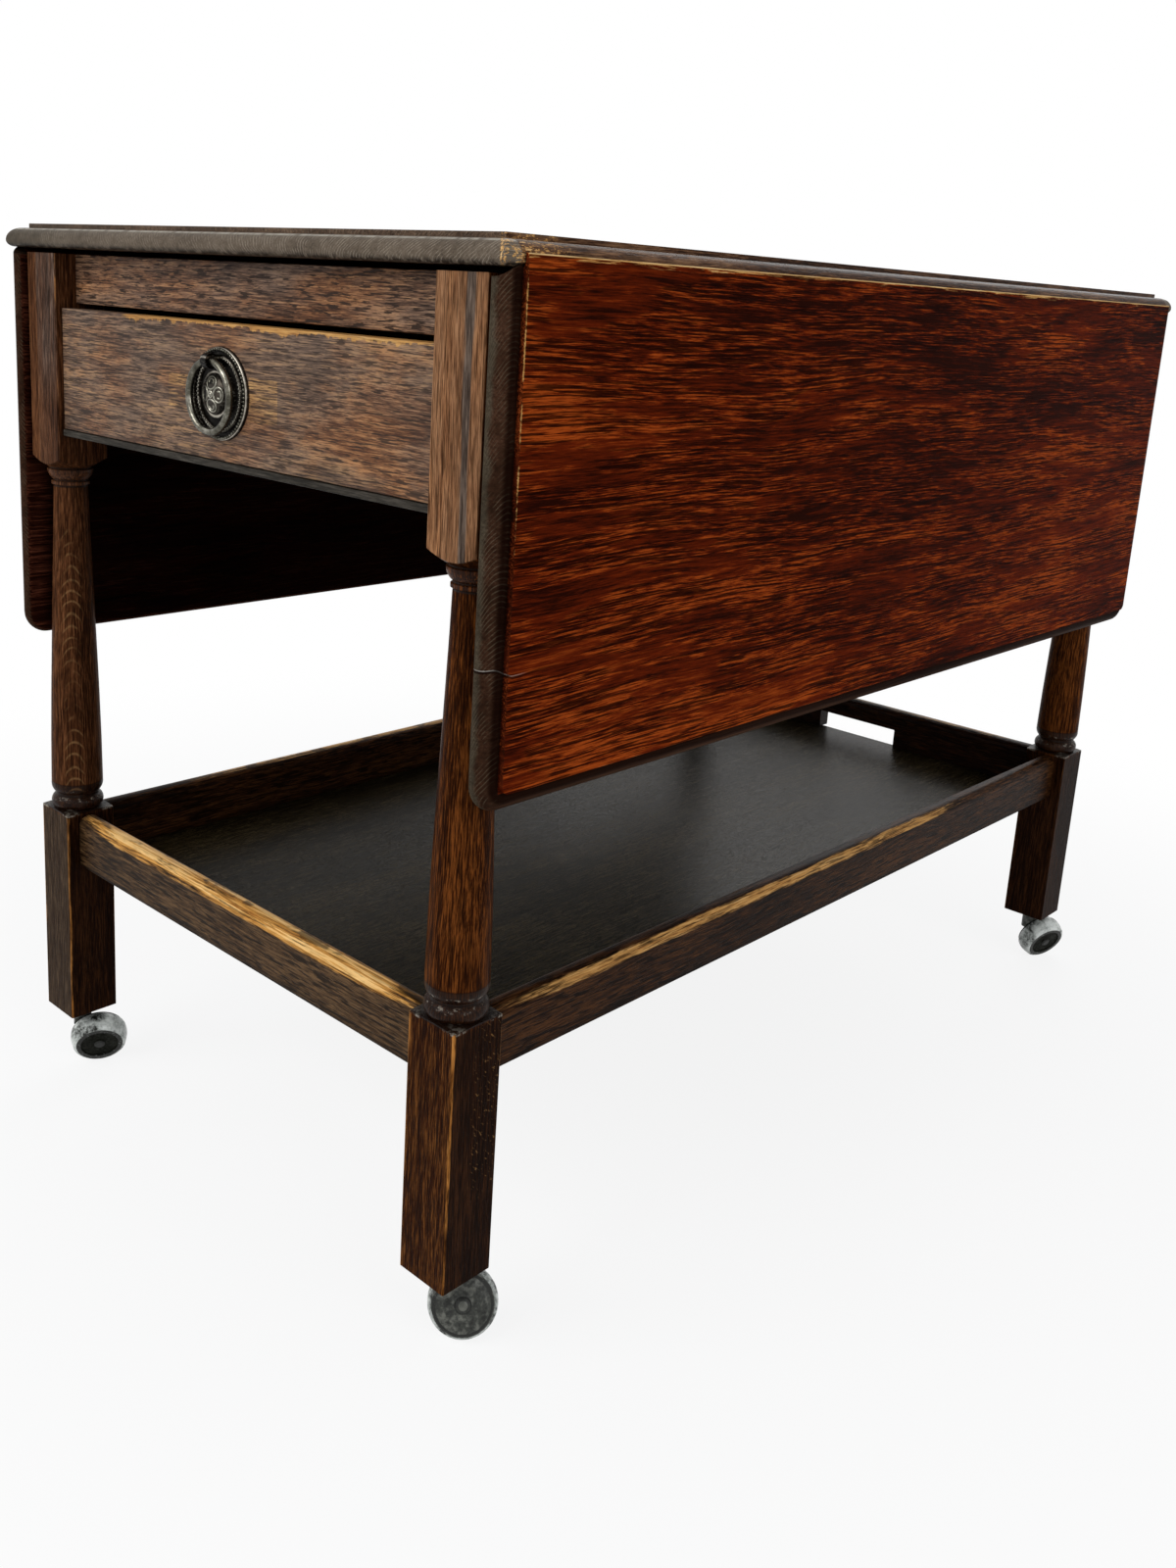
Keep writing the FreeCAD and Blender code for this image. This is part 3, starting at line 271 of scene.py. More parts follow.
# ---- oak ---------------------------------------------------------------------------------------
def oak(name, along, palette, seed=0.0, zones=(), wear=None, marks=None, shade=None, filled=None,
        dash=(42.0, 430.0), dashes=0.85, open_pores=0.44, streaks=1.0, calm=0.0, worn=WORN_OAK,
        relief=0.22 * MM, rough=0.40, gloss=0.06, **others):
    """Stained oak with its grain along x, y or z.

    zones are (mask, colours) pairs that change the stain by place, some of them painted shade and
    highlights, wear(g) is a mask of bare wood, 0 to 1 and paler above 1, marks(g) one of dirt and painted
    shade, and shade(g) makes the stain paler or darker.
    dash is how often pores come, per metre along and across, dashes how dark they are, and a
    higher open_pores opens more of them. streaks is how strong the grain's bands of colour are,
    and calm how smooth and dark some of them are. worn are the colours of bare wood, relief is the
    depth of the grain, filled(g) is where its pores are filled, and gloss is a level or a mask of it.
    """
    g = Graph(name)
    length, side, depth = {"x": (g.x, g.y, g.z), "y": (g.y, g.z, g.x), "z": (g.z, g.x, g.y)}[along]
    bend = g.noise(g.vector(g.times(length, 4.0), g.times(side, 9.0), g.plus(g.times(depth, 9.0), seed)))
    side = g.plus(side, g.times(bend, 0.014))
    depth = g.plus(depth, seed)

    def stretched(run, spread):
        return g.vector(g.times(length, run), g.times(side, spread), g.times(depth, spread))

    blotch = g.noise(stretched(4.5, 24.0), 3.0, 0.55)
    streak = g.noise(stretched(16.0, 290.0), 4.0, 0.70)
    fine = g.noise(stretched(55.0, 1150.0), 3.0, 0.75)
    pore = g.noise(stretched(*dash), 2.0, 0.55)
    small = g.noise(stretched(dash[0] * 2.6, dash[1] * 2.3), 1.0, 0.5)
    band = g.times(g.span(g.noise(stretched(9.0, 62.0), 3.0, 0.6), 0.50, 0.58), calm)
    tone = g.plus(g.times(g.minus(blotch, 0.5), 1.0), g.times(g.minus(streak, 0.5), 1.2 * streaks))
    kept = g.span(filled(g), 0.0, 1.0, 1.0, 0.35) if filled else 1.0
    tone = g.plus(tone, g.times(g.minus(fine, 0.5), g.span(band, 0.0, 1.0, 2.5, 0.9), kept))
    tone = g.minus(tone, g.times(band, 0.20))
    if shade:
        tone = g.plus(tone, shade(g))
    tone = g.math("ADD", tone, 0.5, clamp=True)

    def stained(colours):
        return g.ramp(tone, list(zip((0.14, 0.50, 0.88), colours)))

    colour = stained(palette)
    for mask, colours in zones:
        flat = isinstance(colours[0], float)
        colour = g.mix(mask(g), colour, colours if flat else stained(colours))
    pit = g.most(g.span(pore, open_pores + 0.02, open_pores - 0.04), g.times(g.span(small, 0.42, 0.34), 0.6))
    pit = g.times(pit, g.span(band, 0.0, 1.0, 1.0, 0.25), kept)
    if wear:
        mask = wear(g)
        grit = g.plus(g.times(streak, 0.5), g.times(fine, 0.5))
        paler = g.plus(g.times(g.minus(grit, 0.5), 2.6), g.span(mask, 1.0, 1.6, 0.30, 0.95))
        bare_tone = g.ramp(paler, list(zip((0.0, 0.42, 1.0), worn)))
        bare = g.span(g.plus(mask, g.times(g.minus(grit, 0.5), 1.5)), 0.36, 0.84)
        colour = g.mix(g.times(bare, g.span(mask, 0.0, 0.15)), colour, bare_tone)
        pit = g.times(pit, g.span(mask, 1.1, 0.5, 0.25, 1.0))
    dark = palette[0]
    colour = g.mix(g.times(pit, dashes), colour, tuple(0.40 * c for c in dark))
    if marks:
        colour = g.mix(marks(g), colour, tuple(0.25 * c for c in dark))
    height = g.plus(g.times(fine, 0.35), g.times(g.invert(pit), 0.65))
    roughness = g.plus(g.times(fine, 0.20), rough - 0.10)
    level = gloss(g) if callable(gloss) else gloss
    return g.finish(colour, roughness, height, relief, Specular_IOR_Level=level, **others)


# ---- wear and marks, by place on the object ----------------------------------------------------
def out_from_middle(g):
    """Distance from the trolley's long middle plane."""
    return g.size(g.x)


def leaf_face(g):
    return g.span(out_from_middle(g), LEAF_FACE - 1.6 * MM, LEAF_FACE - 0.4 * MM)


def leaf_inside(g):
    return g.span(out_from_middle(g), LEAF_BACK + 1.2 * MM, LEAF_BACK + 0.4 * MM)


def leaf_inside_front(g):
    """Front end of a leaf's inner face, kept at its stain colour where the painted shade on the rest of that
    face stops.
    """
    return g.times(leaf_inside(g), g.span(g.y, 30 * MM - LEAF_END, 10 * MM - LEAF_END))


def leaf_rim(g):
    """The moulded ends and lower edge of a leaf."""
    edge = LEAF_END - MOULD_W
    ends = g.span(g.size(g.y), edge - 0.3 * MM, edge + 0.5 * MM)
    foot = g.span(g.z, LEAF_LOW[2] + MOULD_W + 0.3 * MM, LEAF_LOW[2] + MOULD_W - 0.5 * MM)
    return g.times(g.most(ends, foot), off_the_back(g))


def off_the_back(g):
    """1 everywhere on a leaf but its inner face."""
    return g.span(out_from_middle(g), LEAF_BACK + 0.3 * MM, LEAF_BACK + 1.2 * MM)


def leaf_rim_lines(g):
    """Pale rays on the end grain of a leaf, climbing outwards."""
    ends = g.span(g.size(g.y), LEAF_END - MOULD_W, LEAF_END - MOULD_W + 1.0 * MM)
    wobble = g.noise(g.scaled(40.0, 40.0, 12.0), 2.0, 0.5)
    run = g.plus(g.plus(g.z, g.times(out_from_middle(g), -1.7)), g.times(wobble, 0.014))
    broken = g.span(g.noise(g.scaled(160.0, 90.0, 60.0), 3.0), 0.40, 0.60)
    return g.times(g.hairlines(run, 3.3 * MM, 0.2), ends, broken, off_the_back(g), 0.6)


def leaf_outer_rim(g):
    """Greyer half of the right leaf's moulding, towards its inner face, with a blurred edge."""
    blurred = g.noise(g.scaled(0.0, 0.0, 45.0), 4.0, 0.7)
    outward = g.plus(g.minus(out_from_middle(g), LEAF_BACK), g.times(g.minus(blurred, 0.5), 0.012))
    return g.times(g.span(outward, 9.0 * MM, 5.0 * MM), leaf_rim(g), right_side(g), 0.9)


def leaf_shade(g):
    """Redder and darker at the upper back, paler and more orange to the lower front."""
    low = g.span(g.z, *LEAF_PALER_Z)
    front = g.span(g.y, *LEAF_PALER_Y)
    broad = g.noise(g.scaled(3.0, 3.5, 7.0, 0.6))
    lift = g.plus(g.times(low, 0.10), g.times(front, 0.07))
    return g.plus(g.plus(lift, -0.09), g.times(g.minus(broad, 0.5), 0.7))


def crack_line(g, above, reach):
    """1 along the split in a leaf's front end, raised by above."""
    line = 0.0
    for (y0, z0), (y1, z1) in zip(CRACK, CRACK[1:]):
        run = g.span(g.y, y0 * MM, y1 * MM)
        middle = g.plus(g.times(run, (z1 - z0) * MM), z0 * MM + above)
        there = g.inside(g.y, y0 * MM, y1 * MM, 0.4 * MM)
        line = g.most(g.times(g.span(g.size(g.minus(g.z, middle)), reach, reach / 3), there), line)
    return line


def leaf_crack(g):
    """The split shows dry and pale on the end grain of the right leaf, and fades along its face."""
    wobble = g.noise(g.scaled(500.0, 120.0, 0.0), 2.0)
    fade = g.span(g.plus(g.y, g.times(wobble, 0.02)), *SPLIT_PALE_Y)
    return g.times(crack_line(g, 0.0, 0.55 * MM), fade, g.span(g.x, 0.0, 1.0 * MM))


def leaf_marks(g):
    """Painted shadow under the split, and darker in the quirk of the moulding."""
    fade = g.span(g.y, CRACK[-1][0] * MM, CRACK[2][0] * MM)
    # painted shadow of the split
    split = g.times(crack_line(g, -0.9 * MM, 1.1 * MM), fade, g.span(g.x, 0.0, 1.0 * MM), 0.85)
    quirk = g.times(g.near(out_from_middle(g), LEAF_FACE - 3.6 * MM, 1.4 * MM), leaf_rim(g), 0.8)
    return g.most(split, quirk)


def leaf_wear(g):
    """Pale lip over the rule joint with ragged wear below it, thin pale arrises round the face."""
    down = g.minus(LEAF_LIP, g.z)
    ragged = g.noise(g.scaled(0.0, 26.0, 420.0), 4.0, 0.65)
    wider = g.noise(g.scaled(0.0, 9.0, 0.0, 0.4), 2.0)
    lip = g.times(g.span(down, 1.1 * MM, 0.5 * MM), g.span(ragged, 0.30, 0.50, 0.9, 1.5))
    band = g.times(g.span(down, 6.0 * MM, 0.5 * MM), g.span(ragged, 0.46, 0.62))
    band = g.times(band, g.span(wider, 0.35, 0.6, 0.35, 1.0))
    broken = g.span(g.noise(g.scaled(0.0, 0.0, 42.0), 3.0, 0.7), 0.36, 0.56)
    arris = g.times(g.near(g.y, MOULD_W - LEAF_END, 0.7 * MM), broken, g.span(g.z, *LEAF_ARRIS_Z, 0.0, 0.95))
    foot = g.times(g.near(g.z, LEAF_LOW[2] + MOULD_W, 1.0 * MM), 0.35)
    return g.times(g.most(lip, band, arris, foot), leaf_face(g))


def top_ends(g):
    """The moulded ends of the top."""
    return g.span(g.size(g.y), FIELD_Y - 0.4 * MM, FIELD_Y + 0.4 * MM)


def top_rays(g):
    """Fine pale rays on the end grain of the top, leaning one way on the left, the other on the right."""
    wobble = g.noise(g.scaled(30.0, 0.0, 90.0), 3.0, 0.6)
    run = g.plus(g.x, g.times(g.span(g.x, *TOP_LEAN_X, 1.0, -1.3), g.minus(g.z, TOP_HIGH[2])))
    run = g.plus(run, g.times(wobble, 0.008))
    broken = g.span(g.noise(g.scaled(130.0, 0.0, 160.0), 2.0), 0.40, 0.58)
    there = g.times(top_ends(g), g.span(g.x, *TOP_RAYS_X, 0.35, 0.65))
    return g.times(g.hairlines(run, 3.1 * MM, 0.16), there, broken)


def top_left_end(g):
    """Left part of the top's end, with less brown in it."""
    return g.times(top_ends(g), g.span(g.x, *TOP_OLIVE_X), 0.7)


def top_crest_wear_and_highlight(g):
    """Crest of the moulding at the ends of the top, rubbed pale in places and painted pale as a highlight
    where light from above falls on it.
    """
    rubbed = g.noise(g.scaled(120.0, 0.0, 0.0), 3.0, 0.6)
    crest = g.near(g.z, TOP_HIGH[2] - 4.3 * MM, 0.9 * MM)
    return g.times(crest, top_ends(g), g.span(rubbed, 0.36, 0.56, 0.1, 1.0))


def top_wear(g):
    """Pitted bare wood at the front right corner, streaks of it along the right edge of the field."""
    beyond = g.minus(g.x, FIELD_X)
    before = g.minus(g.times(g.y, -1.0), FIELD_Y)
    pitted = g.noise(g.scaled(700.0, 260.0, 700.0), 4.0, 0.7)
    mitre = g.times(g.near(g.minus(beyond, before), 0.6 * MM, 1.6 * MM), g.span(before, -0.5 * MM, 0.5 * MM))
    mitre = g.times(mitre, g.span(g.z, TOP_LOW[2] + 1.0 * MM, TOP_LOW[2] + 4.0 * MM))
    mitre = g.times(mitre, g.span(pitted, 0.44, 0.54))
    flank = g.times(g.span(g.minus(beyond, before), 0.0, 0.8 * MM), g.span(g.y, *CORNER_WEAR_Y))
    flank = g.times(flank, g.span(pitted, 0.50, 0.59), g.span(beyond, -1.5 * MM, 0.5 * MM))
    streaky = g.noise(g.scaled(500.0, 22.0, 300.0, 0.3), 3.0, 0.6)
    edge = g.times(g.near(beyond, 0.4 * MM, 2.4 * MM), g.span(streaky, 0.46, 0.62), g.invert(top_ends(g)))
    edge = g.times(edge, g.span(g.y, *EDGE_WEAR_Y, 0.35, 1.0))
    return g.most(g.times(mitre, 1.6), g.times(flank, 1.3), g.times(edge, 1.1))


def top_marks(g):
    """Darker in the quirk under the fillet, and along the chipped lower arris."""
    quirk = g.times(g.near(g.z, TOP_HIGH[2] - 4.2 * MM, 1.0 * MM), g.invert(top_ends(g)))
    chips = g.noise(g.scaled(260.0, 260.0, 0.0), 3.0, 0.7)
    arris = g.times(g.span(g.z, TOP_LOW[2] + 4.0 * MM, TOP_LOW[2] + 0.5 * MM), g.span(chips, 0.38, 0.55))
    return g.most(g.times(quirk, 0.75), g.times(arris, 0.9))


def drawer_wear(g):
    """Thin bare line along the upper edge with drips below it, two paler squares, rubbed places."""
    drips = g.noise(g.scaled(130.0, 0.0, 18.0, 0.7), 4.0, 0.65)
    broad = g.noise(g.scaled(24.0, 0.0, 0.0, 0.2), 2.0)
    reach = g.plus(g.span(drips, 0.42, 0.66, 0.8 * MM, 3.6 * MM), g.span(broad, 0.40, 0.70, 0.0, 3.4 * MM))
    down = g.minus(FRONT_HIGH[2], g.z)
    band = g.span(g.math("DIVIDE", down, reach), 1.25, 0.35)
    band = g.times(band, g.inside(g.x, *DRAWER_LINE_X, 35 * MM), 1.05)
    patches = 0.0
    for x0, x1, z0, z1 in GHOSTS:
        patch = g.times(g.inside(g.x, x0 * MM, x1 * MM, 1.0 * MM), g.inside(g.z, z0 * MM, z1 * MM, 1.0 * MM))
        patches = g.most(g.times(patch, 0.50), patches)
    rubbed = g.noise(g.scaled(16.0, 0.0, 70.0), 4.0, 0.7)
    halo = g.times(g.inside(g.x, *DRAWER_HALO_X, 50 * MM), g.span(down, 34 * MM, 2 * MM, 0.0, 0.13))
    return g.most(band, patches, g.span(g.plus(rubbed, halo), 0.53, 0.80, 0.0, 0.55))


def drawer_marks(g):
    """Grime towards the foot of the drawer front, and a cloud of it to the right of the pull."""
    cloud = g.noise(g.scaled(14.0, 0.0, 22.0, 0.8), 4.0, 0.65)
    foot = g.span(g.z, *DRAWER_GRIME_Z, 0.0, 0.30)
    middle = g.times(g.near(g.x, DRAWER_CLOUD_X, 55 * MM), g.near(g.z, DRAWER_CLOUD_Z, 35 * MM), 0.35)
    return g.times(g.span(cloud, 0.44, 0.66), g.plus(g.most(foot, middle), 0.10))


def frieze_wear(g):
    """Rubbed clouds, a little paler to the right."""
    rubbed = g.noise(g.scaled(12.0, 0.0, 34.0, 0.5), 3.0, 0.65)
    right = g.span(g.x, *FRIEZE_PALER_X, 0.0, 0.05)
    return g.span(g.plus(rubbed, right), 0.54, 0.80, 0.0, 0.5)


def front_of(g, place):
    """Faces of the front legs that look forward, where place is 1."""
    return g.times(g.span(g.y, LEG_FRONT + 1.2 * MM, LEG_FRONT + 0.3 * MM), place)


def upper_fronts(g):
    """Front faces of the upper blocks."""
    return front_of(g, g.span(g.z, UP_BLOCK_BOTTOM - 5 * MM, UP_BLOCK_BOTTOM - 3 * MM))


def from_axis(g):
    """How far to the right of the middle of its leg a place is."""
    return g.minus(g.x, g.times(g.math("SIGN", g.x), LEG_X))


def upper_bands(g):
    """Narrow grey water stain down the upper block of the right leg."""
    edge = g.noise(g.scaled(120.0, 0.0, 7.0), 3.0, 0.6)
    aside = g.plus(from_axis(g), g.times(g.minus(edge, 0.5), 0.012))
    return g.times(upper_fronts(g), g.inside(aside, 6.0 * MM, 10.0 * MM, 1.5 * MM), right_side(g), 0.85)


def left_upper_front(g):
    """Greyed face of the upper left block, still red down its outer side."""
    edge = g.noise(g.scaled(150.0, 0.0, 9.0), 3.0, 0.6)
    aside = g.plus(from_axis(g), g.times(g.minus(edge, 0.5), 0.012))
    return g.times(upper_fronts(g), g.invert(right_side(g)), g.span(aside, -9.5 * MM, -5.5 * MM))


def left_upper_foot(g):
    """Lower part of the same face, less grey."""
    return g.times(left_upper_front(g), g.span(g.z, *LEFT_BLOCK_DARK_Z), 0.85)


def left_outer_strip(g):
    """The strip down the outer side of the same face, dark like the columns."""
    return g.times(upper_fronts(g), g.invert(right_side(g)), g.span(from_axis(g), -5.5 * MM, -9.5 * MM))


def lower_fronts(g):
    """Front faces of the lower blocks."""
    return front_of(g, g.span(g.z, LOW_BLOCK_TOP + 2 * MM, LOW_BLOCK_TOP - 4 * MM))


def left_lower_front(g):
    return g.times(lower_fronts(g), g.invert(right_side(g)))


def right_side(g):
    """1 on the right half of the trolley."""
    return g.span(g.x, -10 * MM, 10 * MM)


def lower_sides(g):
    """The lower blocks, darker on all but their front faces."""
    return g.times(g.span(g.z, LOW_BLOCK_TOP + 2 * MM, LOW_BLOCK_TOP - 4 * MM),
                   g.span(g.y, LEG_FRONT + 0.3 * MM, LEG_FRONT + 1.2 * MM))


def leg_corner(g):
    """The lesser of the distances from the leg's axis, across and along: largest at the arrises."""
    across = g.size(g.minus(out_from_middle(g), LEG_X))
    return g.math("MINIMUM", across, g.size(g.minus(g.size(g.y), LEG_Y)))


def shoulder_highlight(g):
    """Painted highlight on the turned shoulders of the lower blocks, along their arrises."""
    height = g.inside(g.z, LOW_BLOCK_TOP - 1.2 * MM, LOW_BLOCK_TOP + 1.5 * MM, 0.8 * MM)
    broken = g.noise(g.scaled(320.0, 320.0, 320.0), 3.0, 0.6)
    return g.times(height, g.span(leg_corner(g), 9 * MM, 13 * MM), g.span(broken, 0.42, 0.56), 0.8)


def turned_foot(g):
    """Torus and cup at the foot of the turning, dark with old polish."""
    return g.inside(g.z, LOW_BLOCK_TOP, LOW_BLOCK_TOP + 21 * MM, 1.5 * MM)


def cloudy(x, y, z, shift, strength, place=None):
    """Broad clouds with blurred edges, so many per metre on each axis."""
    def mask(g):
        cloud = g.times(g.span(g.noise(g.scaled(x, y, z, shift), 5.0, 0.65), 0.44, 0.62), strength)
        return g.times(cloud, place(g)) if place else cloud
    return mask


def leg_glints(g):
    """Painted glints: pale specks on the crowns of the lower turning, standing in for highlights."""
    specks = g.noise(g.scaled(260.0, 260.0, 420.0, 0.2), 3.0, 0.65)
    torus = g.near(g.z, LOW_BLOCK_TOP + 9.5 * MM, 2.4 * MM)
    cup = g.near(g.z, LOW_BLOCK_TOP + 17.0 * MM, 1.6 * MM)
    return g.times(g.most(torus, cup), g.span(specks, 0.56, 0.64), 0.7)


def leg_gloss(g):
    """Feet and capitals of the turning are polished, the rest has lost its shine."""
    foot = g.inside(g.z, LOW_BLOCK_TOP, LOW_BLOCK_TOP + 22 * MM, 1 * MM)
    capital = g.inside(g.z, UP_BLOCK_BOTTOM - 19 * MM, UP_BLOCK_BOTTOM - 4 * MM, 1 * MM)
    return g.plus(g.times(g.most(foot, capital), 0.07), 0.012)


def leg_chevrons(g):
    """Arched growth figure down the left leg's shaft, on the side turned to the front right."""
    across, along = g.plus(g.x, LEG_X), g.plus(g.y, LEG_Y)
    to_right, to_front = CHEVRONS_AIM
    outward = g.minus(g.times(across, to_right), g.times(along, to_front))
    aside = g.plus(g.times(across, to_front), g.times(along, to_right))
    run = g.plus(g.z, g.times(aside, aside, CHEVRONS_BEND))
    run = g.plus(run, g.times(g.noise(g.scaled(40.0, 40.0, 40.0), 2.0), 0.012))
    broken = g.span(g.noise(g.scaled(40.0, 40.0, 24.0, 0.7), 3.0, 0.6), 0.38, 0.58)
    there = g.times(g.span(g.size(aside), 9.0 * MM, 5.0 * MM), g.inside(g.z, *CHEVRONS_Z, 20 * MM))
    there = g.times(there, g.span(outward, 6.0 * MM, 10.0 * MM), g.invert(right_side(g)))
    return g.times(g.hairlines(run, 9.5 * MM, 0.18), there, broken, 0.8)


def leg_flecks(g):
    """Silver-grain flecks on the outer side of the front right leg."""
    lean = g.plus(g.times(g.z, 110.0), g.times(g.y, -170.0))
    spots = g.noise(g.vector(lean, g.times(g.plus(g.z, g.y), 420.0), 0.0), 3.0, 0.6)
    there = g.times(g.inside(g.y, *FLECKS_Y, 6 * MM), g.inside(g.z, *FLECKS_Z, 20 * MM))
    outer = g.span(g.x, LEG_X + LEG_HALF - 1.5 * MM, LEG_X + LEG_HALF)
    return g.times(g.span(spots, 0.60, 0.68), there, outer, 0.7)


def leg_wear(g):
    """Worn arrises of the square blocks, widest down the front corners of the lower ones."""
    corner = leg_corner(g)
    rubbed = g.noise(g.scaled(90.0, 90.0, 9.0), 4.0, 0.65)
    wander = g.noise(g.scaled(0.0, 0.0, 14.0, 0.3), 2.0)
    front = g.span(g.y, -LEG_Y, -LEG_Y - 10 * MM)
    lower = g.span(g.z, LOW_BLOCK_TOP + 1 * MM, LOW_BLOCK_TOP - 3 * MM)
    reach = g.plus(g.times(front, lower, g.span(wander, 0.3, 0.7, 0.5 * MM, 2.2 * MM)), 1.0 * MM)
    arris = g.span(g.minus(LEG_HALF - 0.2 * MM, corner), reach, g.times(reach, 0.25))
    kept = g.most(g.times(front, lower, 0.7), g.span(rubbed, 0.40, 0.62))
    scuffs = g.times(g.span(rubbed, 0.60, 0.85, 0.0, 0.30), lower)
    return g.most(g.times(arris, kept, g.plus(g.times(lower, 0.20), 0.65)), scuffs)


def leg_marks(g):
    """Darker in the turned grooves."""
    heights = [LOW_BLOCK_TOP + up * MM for up in FOOT_GROOVES]
    heights += [UP_BLOCK_BOTTOM - down * MM for down in CAPITAL_GROOVES]
    mask = 0.0
    for height in heights:
        mask = g.most(g.near(g.z, height, 1.5 * MM), mask)
    return g.times(mask, 0.85)


def rail_wear(along, strength, inward, centre=0.0):
    """Rounded upper edge of a tray rail rubbed through the stain in streaks, most near centre.

    inward is how far in from the rail's outer face the wear begins.
    """
    def wear(g):
        run, across = (g.x, g.y) if along == "x" else (g.y, g.x)
        outside, half, reach = RAIL_WEAR[along]
        place = g.vector(g.times(run, 9.0), g.times(across, 420.0), g.times(g.z, 420.0))
        streaky = g.noise(place, 4.0, 0.6)
        patches = g.noise(g.vector(g.times(run, 9.0), 0.0, 0.0), 2.0)
        middle = g.span(g.size(g.minus(run, centre)), half, half - reach, 0.25, 1.0)
        low = g.span(middle, 0.25, 1.0, RAIL_HIGH[2] - 6.0 * MM, RAIL_HIGH[2] - 11.0 * MM)
        top = g.span(g.z, low, RAIL_HIGH[2] - 2.0 * MM)
        face = g.span(g.size(across), outside - inward, outside - inward + 5 * MM)
        worn = g.times(top, face, middle, g.span(patches, 0.30, 0.55, 0.75, 1.0))
        return g.times(worn, g.span(streaky, 0.32, 0.62, 0.45, 1.2), strength)
    return wear


def rail_marks(g):
    """Dark corner where a rail meets the tray board, dark grooves along its rubbed top."""
    foot = g.times(g.span(g.z, RAIL_LOW[2] + 7.0 * MM, RAIL_LOW[2]), 0.7)
    streaks = g.noise(g.scaled(30.0, 30.0, 700.0, 0.3), 3.0, 0.6)
    top = g.span(g.z, RAIL_HIGH[2] - 9.0 * MM, RAIL_HIGH[2] - 4.0 * MM)
    return g.most(foot, g.times(top, g.span(streaks, 0.54, 0.62), 0.7))


# ---- metal, tyres ------------------------------------------------------------------------------
def metal(name, colours, rough, bright=None, scale=420.0, dent=0.12 * MM, mottled=1.6, **others):
    """Worn metal or paint: mottled, with small scratches and dents; bright(g) lifts it by place."""
    g = Graph(name)
    mottle = g.noise(g.scaled(scale, scale, scale), 4.0, 0.62)
    patch = g.noise(g.scaled(scale / 6, scale / 6, scale / 6), 2.0)
    scratch = g.span(g.noise(g.scaled(260.0, 260.0, 3400.0), 1.0), 0.66, 0.74)
    tone = g.plus(g.times(g.minus(mottle, 0.5), mottled), g.times(g.minus(patch, 0.5), 1.2))
    tone = g.plus(tone, bright(g) if bright else 0.5)
    colour = g.ramp(tone, list(zip((0.15, 0.50, 0.85), colours)))
    colour = g.mix(g.times(scratch, 0.45), colour, colours[2])
    height = g.plus(mottle, g.times(scratch, -0.3))
    return g.finish(colour, g.span(tone, 0.2, 0.8, rough + 0.14, rough - 0.08), height, dent, **others)


def plate_relief(g):
    """Rubbed bright on the rims and the boss of the backplate, black in its sunk rings."""
    radius = g.math("SQRT", g.plus(g.times(g.x, g.x), g.times(g.minus(g.z, PULL_Z), g.minus(g.z, PULL_Z))))
    rings = 0.0
    for middle, reach in PLATE_RIMS:
        rings = g.most(g.near(radius, middle * MM, reach * MM), rings)
    boss = g.span(radius, 12.8 * MM, 11.5 * MM, 0.0, 0.25)
    return g.plus(g.times(g.most(rings, boss), 0.85), 0.02)


def by_axle(g, corner):
    """Distance from the axle of the castor at a corner, and the place along it, towards the hood."""
    def combine(operation, *vectors):
        return g.add("ShaderNodeVectorMath", dict(enumerate(vectors)), operation=operation).outputs

    joint = next(j for j in frame["joints"] if j["name"] == "wheel_" + corner + "_spin")
    aim = tuple(Vector(joint["axis"]).normalized())
    offset = combine("SUBTRACT", g.place, tuple(joint["pos_m"]))[0]
    square = combine("CROSS_PRODUCT", offset, aim)[0]
    return combine("LENGTH", square)["Value"], combine("DOT_PRODUCT", offset, aim)["Value"]


def rivet_relief(corner):
    """The head of the rivet is rubbed on the hood's side, its tail is as black as the wheel."""
    def bright(g):
        radius, along = by_axle(g, corner)
        head = g.span(along, 0.0, 1.0 * MM, -2.0, 0.75)
        return g.minus(head, g.span(radius, 2.6 * MM, 3.6 * MM, 0.0, 0.5))
    return bright


def hood_relief(corner):
    """Dark joints round the rivet and inside the rim of a castor's hood, blotched between them."""
    def bright(g):
        radius, along = by_axle(g, corner)
        joints = g.most(*(g.near(radius, middle * MM, reach * MM) for middle, reach in HOOD_JOINTS))
        blotches = g.span(g.noise(g.scaled(90.0, 90.0, 90.0), 3.0, 0.6), 0.35, 0.65, 0.25, 0.80)
        return g.minus(blotches, g.times(joints, g.span(along, 3 * MM, 5 * MM), 2.0))
    return bright


def tyre_rubbed(corner):
    """Rubbed running face of a tyre; its flat side is as black as the wheel."""
    def bright(g):
        blotches = g.span(g.noise(g.scaled(70.0, 70.0, 70.0), 3.0, 0.6), 0.35, 0.65, 0.25, 0.75)
        radius, along = by_axle(g, corner)
        return g.plus(blotches, g.span(radius, TYRE_SIDE_R, TYRE_SIDE_R + 0.5 * MM, -3.0, 0.0))
    return bright


